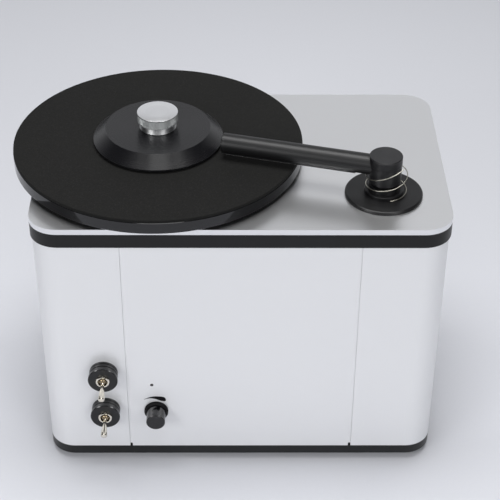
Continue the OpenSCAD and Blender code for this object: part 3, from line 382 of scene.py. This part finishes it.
# Platter, mat and drive
driveLook = {
    "platter": {
        "colour": (0.006, 0.006, 0.007), "rough": 0.10, "roughSpan": 0.04,
        "rings": (platterAt, upright, 1800.0, 0.000003, 0.3), "edge": (0.0006, 0.15, (0.2, 0.2, 0.2))},
    "mat": {
        "colour": (0.0082, 0.0082, 0.0078), "rough": 0.80, "specular": 0.14, "drift": 0.16,
        "driftScale": 22.0, "grain": (900.0, 0.00016, 0.35), "dust": 0.03},
    "spindle": {
        "colour": (0.70, 0.70, 0.69), "metallic": 1.0, "rough": 0.22,
        "rings": (platterAt, upright, 5200.0, 0.00001, 0.15)},
    "bronze": {
        "colour": (0.52, 0.34, 0.13), "metallic": 1.0, "rough": 0.42, "grain": (2600.0, 0.00005, 0.3)},
    "casting": {
        "colour": (0.52, 0.53, 0.54), "metallic": 0.9, "rough": 0.5, "grain": (1200.0, 0.00012, 0.3)},
}
driveFinish = makeFinishes("drive", driveLook)
dress(["platter"], driveFinish["platter"])
dress(["platter_mat"], driveFinish["mat"])
dress(["spindle", "motor_shaft", "suction_post", "speed_control_shaft"], driveFinish["spindle"])
dress(["spindle_bearing"], driveFinish["bronze"])
dress(["platter_motor", "vacuum_motor", "speed_control"], driveFinish["casting"])
print("platter and drive dressed")


# Helpers for new pieces
def smoothByAngle(mesh, degrees):
    work = bmesh.new()
    work.from_mesh(mesh)
    bmesh.ops.recalc_face_normals(work, faces=work.faces)
    for face in work.faces:
        face.smooth = True
    for edge in work.edges:
        edge.smooth = len(edge.link_faces) != 2 or edge.calc_face_angle(0) < math.radians(degrees)
    work.to_mesh(mesh)
    work.free()


def meshOf(name, points, faces, degrees=35):
    mesh = bpy.data.meshes.new(name)
    mesh.from_pydata(points, [], faces)
    mesh.update()
    smoothByAngle(mesh, degrees)
    return mesh


def newPiece(name, mesh, material, body):
    piece = bpy.data.objects.new(name, mesh)
    bpy.context.scene.collection.objects.link(piece)
    if material:
        piece.data.materials.clear()
        piece.data.materials.append(material)
    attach(piece, body)
    return piece


# Turns a profile of (radius, height) about Z. Ends on the axis close in one point.
def turnProfile(profile, columns, cut=None):
    points = []
    faces = []
    rings = []
    for step, (radius, height) in enumerate(profile):
        if radius == 0:
            points.append((0.0, 0.0, height))
            rings.append([len(points) - 1] * columns)
            continue
        first = len(points)
        for column in range(columns):
            angle = 2 * math.pi * column / columns
            r = radius - (cut(step, column) if cut else 0.0)
            points.append((r * math.cos(angle), r * math.sin(angle), height))
        rings.append(list(range(first, first + columns)))
    for lower, upper in zip(rings, rings[1:]):
        for column in range(columns):
            side = (column + 1) % columns
            corners = [lower[column], lower[side], upper[side], upper[column]]
            faces.append(list(dict.fromkeys(corners)))
    return points, faces


# Clamp and its screw knob, whose grip has a real diamond knurl
clampLook = {
    "disc": {
        "colour": (0.005, 0.005, 0.006), "rough": 0.26, "roughSpan": 0.03, "specular": 0.42,
        "turned": ("Z", 0.65), "rings": (platterAt, upright, 4200.0, 0.000002, 0.04), "dust": 0.01,
        "edge": (0.0005, 0.4, (0.2, 0.2, 0.21))},
    "knobFace": {
        "colour": (0.83, 0.835, 0.85), "metallic": 1.0, "rough": 0.32, "roughSpan": 0.06,
        "turned": ("Z", 0.08), "rings": (platterAt, upright, 5200.0, 0.00002, 0.10)},
    # painted shade: the grip is the same steel as face and neck, and its darker colour stands for the shade
    # between the knurl's diamonds; the knurl's cut itself is real
    "knobGrip": {
        "colour": (0.44, 0.455, 0.455), "metallic": 0.80, "rough": 0.44, "grain": (5000.0, 0.00002, 0.15)},
    "knobNeck": {
        "colour": (0.88, 0.885, 0.89), "metallic": 1.0, "rough": 0.46, "roughSpan": 0.1,
        "turned": ("Z", 0.92), "rings": (platterAt, upright, 5200.0, 0.00002, 0.10)},
}
knobShape = {
    "bore": 0.0037, "boreDeep": 0.014, "hub": 0.009, "neck": 0.019, "neckHigh": 0.0072,
    "neckRound": 0.0004, "neckFoot": 0.0003, "neckFlare": 0.0001, "grip": 0.021, "gripHigh": 0.0102,
    "lowEdge": 0.0004, "lowParts": 3, "topEdge": 0.00015, "topShare": 0.3, "seam": 0.0001,
    "diamonds": 120, "rows": 8, "fineness": 6, "cut": 0.00034, "fadeIn": 6, "smooth": 28,
}
clampFinish = makeFinishes("clamp", clampLook)
dress(["clamp_disc"], clampFinish["disc"])
dress(["clamp_knob"], clampFinish["knobFace"])


def buildClampKnob(s):
    low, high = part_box("clamp_knob")
    hubHigh = high.z - low.z - s["gripHigh"] - s["neckHigh"]
    gripLow = hubHigh + s["neckHigh"]
    top = gripLow + s["gripHigh"]
    bandLow = gripLow + s["lowEdge"]
    bandHigh = top - s["topEdge"]
    steps = s["rows"] * s["fineness"]
    lowRound = s["lowEdge"] / s["lowParts"]
    topRound = s["topEdge"] * s["topShare"]
    profile = [
        (0, s["boreDeep"]), (s["bore"], s["boreDeep"]), (s["bore"], 0), (s["hub"], 0), (s["hub"], hubHigh),
        (s["neck"] - s["neckRound"], hubHigh), (s["neck"], hubHigh + s["neckRound"]),
        (s["neck"], gripLow - s["neckFoot"]), (s["neck"] + s["neckFlare"], gripLow),
        (s["grip"] - s["lowEdge"], gripLow), (s["grip"] - lowRound, gripLow + lowRound)]
    bandFirst = len(profile)
    profile += [(s["grip"], bandLow + step / steps * (bandHigh - bandLow)) for step in range(steps + 1)]
    profile += [
        (s["grip"] - topRound, top - topRound), (s["grip"] - s["topEdge"], top), (s["hub"], top), (0, top)]

    def knurl(step, column):
        share = (step - bandFirst) / steps
        if not 0 <= share <= 1:
            return 0.0
        around = column / s["fineness"]
        rise = s["rows"] * share
        crossing = [abs((phase % 1) - 0.5) * 2 for phase in (around + rise, around - rise)]
        fade = min(1.0, s["fadeIn"] * share, s["fadeIn"] * (1 - share))
        return s["cut"] * fade * (1 - min(crossing))

    points, faces = turnProfile(profile, s["diamonds"] * s["fineness"], knurl)
    mesh = meshOf("clampKnob", points, faces, s["smooth"])
    finishes = ["knobFace", "knobGrip", "knobNeck"]
    for finish in finishes:
        mesh.materials.append(clampFinish[finish])
    for face in mesh.polygons:
        middle = face.center
        away = math.hypot(middle.x, middle.y)
        if middle.z < gripLow - s["seam"]:
            face.material_index = finishes.index("knobNeck")
        # the grip's faces take the darker steel, the knurl's painted shade
        elif bandLow < middle.z < bandHigh and away > s["neck"]:
            face.material_index = finishes.index("knobGrip")
    mesh.transform(Matrix.Translation((platterAt[0], platterAt[1], low.z)))
    return mesh


knob = newPiece("clampKnob", buildClampKnob(knobShape), None, "clamp_knob")
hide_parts("clamp_knob")
print("clamp and knob done")

# Suction arm on its post: black anodised pieces, velvet and the open spring
armLook = {
    "tube": {
        "colour": (0.007, 0.007, 0.0075), "rough": 0.40, "specular": 0.36,
        "lines": ((1, 1, 1), 2200.0, 0.00001, 0.2), "edge": (0.0005, 0.2, (0.2, 0.2, 0.2))},
    "head": {
        "colour": (0.005, 0.005, 0.006), "rough": 0.38, "specular": 0.34, "turned": ("Z", 0.35),
        "rings": (postAt, upright, 2600.0, 0.00001, 0.25), "edge": (0.0005, 0.3, (0.2, 0.2, 0.2))},
    "cap": {
        "colour": (0.007, 0.007, 0.008), "rough": 0.38, "specular": 0.47, "turned": ("Z", 0.35),
        "rings": (postAt, upright, 2600.0, 0.00001, 0.25), "edge": (0.0005, 0.2, (0.2, 0.2, 0.2))},
    "flange": {
        "colour": (0.005, 0.005, 0.0055), "rough": 0.38, "specular": 0.34, "turned": ("Z", 0.6),
        "rings": (postAt, upright, 2200.0, 0.00001, 0.25), "edge": (0.0005, 0.08, (0.2, 0.2, 0.2))},
    "velvet": {
        "colour": (0.010, 0.010, 0.011), "rough": 0.95, "specular": 0.1, "sheen": 0.6, "sheenRough": 0.4,
        "grain": (3800.0, 0.0003, 0.6)},
    "wire": {
        "colour": (0.44, 0.425, 0.37), "metallic": 1.0, "rough": 0.30, "grain": (3000.0, 0.00001, 0.12)},
}
armFinish = makeFinishes("arm", armLook)
dress(["arm_tube", "arm_end_cap"], armFinish["tube"])
dress(["arm_head"], armFinish["head"])
dress(["arm_cap"], armFinish["cap"])
dress(["post_flange", "pivot_bushing"], armFinish["flange"])
dress(["arm_pads"], armFinish["velvet"])

springShape = {
    "turnRadius": 0.0206, "shift": 0.0019, "wire": 0.0005, "lift": 0.0043, "pitch": 0.0149987,
    "front": -90, "from": 0.035, "to": 2.122, "deadTurn": 0.3, "lean": 0.0066, "leanTurn": 1.75,
    "dome": ((0.8, 0.55), (0.35, 0.9)), "pointsPerTurn": 60, "sides": 12, "smooth": 60, "keep": 0.87,
}


# The spring's middle line: it starts level, climbs past its dead turn, and leans over more and more
def springPoint(s, turn):
    angle = math.radians(360 * turn + s["front"])
    dead = s["deadTurn"]
    rise = turn * turn / (2 * dead) if turn < dead else turn - dead / 2
    tilt = s["lean"] * min(1.0, (turn / s["leanTurn"]) ** 2)
    drift = s["shift"] * (1 - (1 - min(1.0, turn / dead)) ** 2)
    return Vector((
        drift + s["turnRadius"] * math.cos(angle), s["turnRadius"] * math.sin(angle),
        s["lift"] + s["pitch"] * rise + tilt * math.cos(angle)))


# Round wire along a path. Its ends are domed in steps of (push along the wire, share of the radius).
def wireMesh(name, path, s):
    points = []
    faces = []
    side = None
    radius = s["wire"]
    sides = s["sides"]
    last = len(path) - 1
    stations = [(path[0], -push, scale) for push, scale in s["dome"]]
    stations += [(point, 0.0, 1.0) for point in path]
    stations += [(path[-1], push, scale) for push, scale in reversed(s["dome"])]
    for number, (point, push, scale) in enumerate(stations):
        index = min(max(number - len(s["dome"]), 0), last)
        ahead = (path[min(index + 1, last)] - path[max(index - 1, 0)]).normalized()
        if side is None:
            side = ahead.orthogonal().normalized()
        else:
            side = (side - ahead * side.dot(ahead)).normalized()
        across = ahead.cross(side)
        middle = point + ahead * push * radius
        for corner in range(sides):
            angle = 2 * math.pi * corner / sides
            points.append(middle + (side * math.cos(angle) + across * math.sin(angle)) * radius * scale)
    for ring in range(len(stations) - 1):
        for corner in range(sides):
            near = ring * sides + corner
            far = ring * sides + (corner + 1) % sides
            faces.append((near, far, far + sides, near + sides))
    faces.append(tuple(reversed(range(sides))))
    faces.append(tuple(range(len(points) - sides, len(points))))
    return meshOf(name, points, faces, s["smooth"])


def buildSpring(s):
    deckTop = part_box("post_flange")[0].z
    turns = s["to"] - s["from"]
    steps = round(turns * s["pointsPerTurn"])
    path = [springPoint(s, s["from"] + turns * step / steps) for step in range(steps + 1)]
    mesh = wireMesh("liftSpring", path, s)
    mesh.transform(Matrix.Translation((postAt[0], postAt[1], deckTop)))
    return mesh, Vector((postAt[0], postAt[1], deckTop + s["lift"]))


springMesh, springFoot = buildSpring(springShape)
spring = newPiece("liftSpring", springMesh, armFinish["wire"], "arm_carrier")
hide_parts("lift_spring")
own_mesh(spring)

velvetShape = {
    "direction": 164.7, "tubeRadius": 0.0104, "thick": 0.001, "from": 8.0, "sweep": 24.0,
    "start": 0.029, "end": 0.165356, "alongSteps": 240, "acrossSteps": 12, "edge": 0.12, "endRows": 2,
    "thinShare": 0.35, "nap": 0.00008, "waves": ((5100, 2.1), (1730, -1.3)), "smooth": 70,
}


# One velvet strip: a closed band that follows the tube, with rounded edges and an uneven nap
def buildVelvet(s, side):
    turn = Matrix.Rotation(math.radians(s["direction"]), 4, "Z")
    low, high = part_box("arm_end_cap")
    axisHigh = (low.z + high.z) / 2
    points = []
    faces = []
    width = s["acrossSteps"] + 1
    for row in range(s["alongSteps"] + 1):
        share = row / s["alongSteps"]
        x = s["start"] + share * (s["end"] - s["start"])
        endFall = min(1.0, min(share, 1 - share) * s["alongSteps"] / s["endRows"])
        for outer in (0, 1):
            for column in range(width):
                across = column / s["acrossSteps"]
                angle = side * math.radians(s["from"] + s["sweep"] * across)
                fall = math.sqrt(min(1.0, min(across, 1 - across) / s["edge"])) * math.sqrt(endFall)
                wave = math.prod(math.sin(x * along + column * over) for along, over in s["waves"])
                full = s["thinShare"] + (1 - s["thinShare"]) * fall
                pile = (s["thick"] - s["nap"]) * full + s["nap"] * wave * fall
                r = s["tubeRadius"] + (pile if outer else 0.0)
                points.append(turn @ Vector((x, r * math.sin(angle), -r * math.cos(angle))))
    ring = 2 * width
    for row in range(s["alongSteps"]):
        here = row * ring
        for column in range(s["acrossSteps"]):
            inner = here + column
            outer = here + width + column
            faces.append((inner, inner + 1, inner + 1 + ring, inner + ring))
            faces.append((outer, outer + ring, outer + ring + 1, outer + 1))
        for edge in (0, s["acrossSteps"]):
            inner = here + edge
            outer = here + width + edge
            faces.append((inner, outer, outer + ring, inner + ring))
    for here in (0, s["alongSteps"] * ring):
        for column in range(s["acrossSteps"]):
            inner = here + column
            outer = here + width + column
            faces.append((inner, inner + 1, outer + 1, outer))
    mesh = meshOf("velvetStrip", points, faces, s["smooth"])
    mesh.transform(Matrix.Translation((postAt[0], postAt[1], axisHigh)))
    return mesh


for label, side in (("Front", 1), ("Rear", -1)):
    mesh = buildVelvet(velvetShape, side)
    strip = newPiece("velvetStrip" + label, mesh, armFinish["velvet"], "arm")
    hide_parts("arm_pads")
print("suction arm done")

# Switches, speed knob, lamp and the speed mark
switchAt = {side: tuple(centreOf(side + "_switch_bush")) for side in ("upper", "lower")}
collarLook = {
    side: {
        "colour": (0.003, 0.003, 0.004), "rough": 0.12, "roughSpan": 0.04, "specular": 0.7,
        "rings": (bush, facingOut, 2600.0, 0.000004, 0.3), "edge": (0.0004, 0.35, (0.16, 0.16, 0.16))}
    for side, bush in switchAt.items()
}
controlLook = {
    "collarFace": {
        "colour": (0.006, 0.006, 0.007), "rough": 0.34, "specular": 0.4, "grain": (2400.0, 0.00001, 0.3),
        "edge": (0.0004, 0.2, (0.16, 0.16, 0.16))},
    "nickel": {
        "colour": (0.78, 0.74, 0.65), "metallic": 1.0, "rough": 0.13, "roughSpan": 0.04,
        "grain": (2600.0, 0.00001, 0.2), "edge": (0.0003, 0.4, (0.82, 0.78, 0.7))},
    # painted shade: the ball's dark brown stands for the shade inside the bush's mouth
    "ball": {
        "colour": (0.26, 0.21, 0.14), "metallic": 1.0, "rough": 0.13, "roughSpan": 0.04,
        "grain": (2600.0, 0.00001, 0.3)},
    "phenolic": {
        "colour": (0.12, 0.035, 0.018), "rough": 0.3, "coat": 0.3, "grain": (1800.0, 0.00004, 0.35)},
    "knob": {
        "colour": (0.005, 0.005, 0.006), "rough": 0.30, "grain": (2400.0, 0.000004, 0.3),
        "edge": (0.0004, 0.08, (0.14, 0.14, 0.14))},
    "barrel": {
        "colour": (0.003, 0.003, 0.004), "rough": 0.12, "roughSpan": 0.04, "specular": 0.8,
        "grain": (2400.0, 0.000004, 0.3)},
    "skirt": {
        "colour": (0.003, 0.003, 0.004), "rough": 0.55, "specular": 0.15, "grain": (2400.0, 0.00001, 0.3)},
    "lens": {
        "colour": (0.030, 0.022, 0.024), "rough": 0.12, "coat": 0.6, "coatRough": 0.05,
        "grain": (1200.0, 0.00001, 0.3)},
    "mark": {
        "colour": (0.004, 0.004, 0.005), "rough": 0.6, "specular": 0.15, "grain": (2600.0, 0.00001, 0.2)},
}
collarFinish = makeFinishes("collar", collarLook)
controlFinish = makeFinishes("control", controlLook)
for side in switchAt:
    dress([side + "_switch_collar"], collarFinish[side])
    dress([side + "_switch_bush", side + "_lever"], controlFinish["nickel"])
    dress([side + "_switch_body"], controlFinish["phenolic"])
dress(["speed_knob"], controlFinish["knob"])
dress(["indicator_lamp"], controlFinish["lens"])

# The ball's centre behind the lever's tip and its reach, the barrel's radius, and how far faces lean
roundShape = {"ball": 0.0046, "ballReach": 0.0052, "barrel": 0.0103, "flat": 0.9, "side": 0.5}


# A further finish for those faces of a node that pass a test of their middle and normal
def dressWhere(name, finish, passes):
    mesh = nodes[name].data
    mesh.materials.append(finish)
    for face in mesh.polygons:
        if passes(nodes[name].matrix_world @ face.center, face.normal):
            face.material_index = len(mesh.materials) - 1


# The lever's ball is coloured dark brown as painted shade of the bush's mouth that it sits in.
# The collars and the knob's barrel were turned, so their sides shine more than the faces that look out.
# The knob's skirt is dull.
def dressSwitch(s, side, bush):
    ball = Vector((bush[0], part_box(side + "_lever")[1].y - s["ball"], bush[2]))

    def inShadedBall(middle, normal):
        return (middle - ball).length < s["ballReach"]

    def looksOut(middle, normal):
        return abs(normal.y) > s["flat"]

    dressWhere(side + "_lever", controlFinish["ball"], inShadedBall)
    dressWhere(side + "_switch_collar", controlFinish["collarFace"], looksOut)


def dressSpeedKnob(s):
    knobAt = centreOf("speed_knob")

    def onSkirt(middle, normal):
        return math.hypot(middle.x - knobAt.x, middle.z - knobAt.z) > s["barrel"]

    def onBarrel(middle, normal):
        return abs(normal.y) < s["side"] and not onSkirt(middle, normal)

    dressWhere("speed_knob", controlFinish["barrel"], onBarrel)
    dressWhere("speed_knob", controlFinish["skirt"], onSkirt)


for side, bush in switchAt.items():
    dressSwitch(roundShape, side, bush)
dressSpeedKnob(roundShape)

# The mark above the knob: a comma that swells from its thin left tip to a round right end
markShape = {
    "left": -0.0896, "apex": -0.0772, "right": -0.0663, "leftHigh": 0.0860, "apexHigh": 0.0903,
    "rightHigh": 0.0884, "leftBend": 2, "rightBend": 3, "tip": 0.0004, "swell": 0.0084, "growth": 1.4,
    "thickest": 0.0060, "endRound": 0.0026, "leastRound": 0.004, "ink": 0.00005, "steps": 60, "smooth": 30,
}


def buildSpeedMark(s):
    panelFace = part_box("front_panel")[0].y
    points = []
    for step in range(s["steps"] + 1):
        share = step / s["steps"]
        x = s["left"] + share * (s["right"] - s["left"])
        end = "left" if x < s["apex"] else "right"
        away = (x - s["apex"]) / (s[end] - s["apex"])
        top = s["apexHigh"] - (s["apexHigh"] - s[end + "High"]) * away ** s[end + "Bend"]
        weight = min(s["thickest"], s["tip"] + s["swell"] * share ** s["growth"])
        inset = max(0.0, 1 - (s["right"] - x) / s["endRound"])
        middle = top - weight / 2
        half = weight / 2 * math.sqrt(max(s["leastRound"], 1 - inset * inset))
        for z in (middle + half, middle - half):
            for y in (panelFace, panelFace - s["ink"]):
                points.append((x, y, z))
    faces = []
    for step in range(s["steps"]):
        a = step * 4
        b = a + 4
        faces += [
            (a + 1, b + 1, b + 3, a + 3), (a, a + 2, b + 2, b), (a, b, b + 1, a + 1),
            (a + 2, a + 3, b + 3, b + 2)]
    last = s["steps"] * 4
    faces += [(0, 1, 3, 2), (last, last + 2, last + 3, last + 1)]
    return meshOf("speedMark", points, faces, s["smooth"])


newPiece("speedMark", buildSpeedMark(markShape), controlFinish["mark"], "chassis")
print("controls done")

# Inside and rear
serviceLook = {
    "hose": {"colour": (0.024, 0.024, 0.025), "rough": 0.6, "grain": (900.0, 0.00008, 0.3), "dust": 0.15},
    "tank": {
        "colour": (0.70, 0.72, 0.72), "rough": 0.45, "subsurface": 0.15, "grain": (700.0, 0.00015, 0.12)},
    "moulding": {
        "colour": (0.022, 0.022, 0.023), "rough": 0.45, "grain": (1300.0, 0.0001, 0.35),
        "edge": (0.0004, 0.3, (0.1, 0.1, 0.1))},
    "pin": {"colour": (0.74, 0.71, 0.65), "metallic": 1.0, "rough": 0.22, "grain": (2600.0, 0.00002, 0.2)},
    "spout": {
        "colour": (0.66, 0.66, 0.66), "metallic": 1.0, "rough": 0.28,
        "lines": ((1, 0.05, 1), 1800.0, 0.00002, 0.2)},
    "board": {"colour": (0.02, 0.10, 0.045), "rough": 0.35, "coat": 0.3, "grain": (900.0, 0.00004, 0.4)},
    "parts": {"colour": (0.05, 0.05, 0.06), "rough": 0.42, "grain": (1600.0, 0.00004, 0.3)},
}
serviceFinish = makeFinishes("service", serviceLook)
dress(["suction_hose", "air_hose", "drain_cap"], serviceFinish["hose"])
dress(["waste_tank"], serviceFinish["tank"])
dress(["exhaust_duct", "exhaust_grille", "mains_inlet"], serviceFinish["moulding"])
dress(["inlet_pins"], serviceFinish["pin"])
dress(["drain_spout"], serviceFinish["spout"])
dress(["control_board"], serviceFinish["board"])
dress(["board_parts"], serviceFinish["parts"])
print("service side dressed")

# Floor, world and soft studio light
studio = {
    "floorSize": 30.0,
    "paper": {
        "colour": (0.640, 0.650, 0.690), "rough": 0.9, "specular": 0.2, "drift": 0.02, "driftScale": 1.2,
        "grain": (260.0, 0.00002, 0.02)},
    "airColour": (0.96, 0.97, 1.0),
    "airHigh": ((0.0, 0.0), (0.17, 0.0), (0.30, 1.0), (0.60, 1.0), (0.75, 0.0)),
    "airRound": ((0.125, 1.10), (0.375, 0.04), (0.625, 0.04), (0.875, 0.69)),
    "lowHigh": ((0.0, 0.80), (0.17, 0.80), (0.30, 0.0)),
    "lowRound": ((0.60, 0.0), (0.85, 1.0)),
    "boxes": [    # name, size, place, target and power of each lamp
        ("overBox", (1.6, 1.0), (0.0, 0.15, 2.2), (0.0, 0.0, 0.2), 41.0),
        ("steepBox", (1.0, 0.6), (0.0, -1.2, 2.2), (0.0, 0.0, 0.2), 6.0),
        ("leftBox", (0.8, 0.9), (-1.383, -1.536, 1.0), (0.0, 0.0, 0.25), 13.0),
        ("rightBox", (0.8, 0.9), (1.096, -1.753, 1.0), (0.0, 0.0, 0.25), 9.5),
    ],
}


def setFloor(s):
    half = s["floorSize"] / 2
    corners = [(-half, -half, 0), (half, -half, 0), (half, half, 0), (-half, half, 0)]
    floor = bpy.data.objects.new("floorSheet", meshOf("floorSheet", corners, [(0, 1, 2, 3)]))
    bpy.context.scene.collection.objects.link(floor)
    floor.data.materials.append(makeFinish("floorPaper", s["paper"]))


# Levels of light along a value, each as (place, level)
def ramp(tree, value, levels):
    node = addNode(tree, "ShaderNodeValToRGB", {0: value})
    stops = node.color_ramp.elements
    while len(stops) < len(levels):
        stops.new(0.5)
    for stop, (place, level) in zip(stops, levels):
        stop.position = place
        stop.color = (level, level, level, 1.0)
    return node.outputs[0]


# The air shines from a high band in front, and from a high and a low band behind. It is dark at the sides.
def setWorld(s):
    world = bpy.data.worlds.new("studioAir")
    bpy.context.scene.world = world
    world.use_nodes = True
    tree = world.node_tree
    tree.nodes.clear()
    sky = addNode(tree, "ShaderNodeTexCoord").outputs["Generated"]
    toward = addNode(tree, "ShaderNodeSeparateXYZ", {0: sky}).outputs
    depth = remap(tree, toward["Y"], -1.0, 1.0)
    bands = calc(
        tree, "MULTIPLY", ramp(tree, toward["Z"], s["airHigh"]), ramp(tree, depth, s["airRound"]))
    backdrop = calc(
        tree, "MULTIPLY", ramp(tree, toward["Z"], s["lowHigh"]), ramp(tree, depth, s["lowRound"]))
    glow = addNode(tree, "ShaderNodeBackground", {
        "Color": (*s["airColour"], 1.0), "Strength": calc(tree, "ADD", bands, backdrop)})
    addNode(tree, "ShaderNodeOutputWorld", {0: glow.outputs[0]})


def setLights(s):
    for name, (wide, high), place, target, power in s["boxes"]:
        data = bpy.data.lights.new(name, "AREA")
        data.shape = "RECTANGLE"
        data.size = wide
        data.size_y = high
        data.energy = power
        lamp = bpy.data.objects.new(name, data)
        bpy.context.scene.collection.objects.link(lamp)
        lamp.visible_camera = False
        aim = (Vector(target) - Vector(place)).to_track_quat("-Z", "Y")
        lamp.matrix_world = Matrix.Translation(place) @ aim.to_matrix().to_4x4()


setFloor(studio)
setWorld(studio)
setLights(studio)
bpy.context.scene.view_settings.view_transform = "Standard"
print("floor and light set")
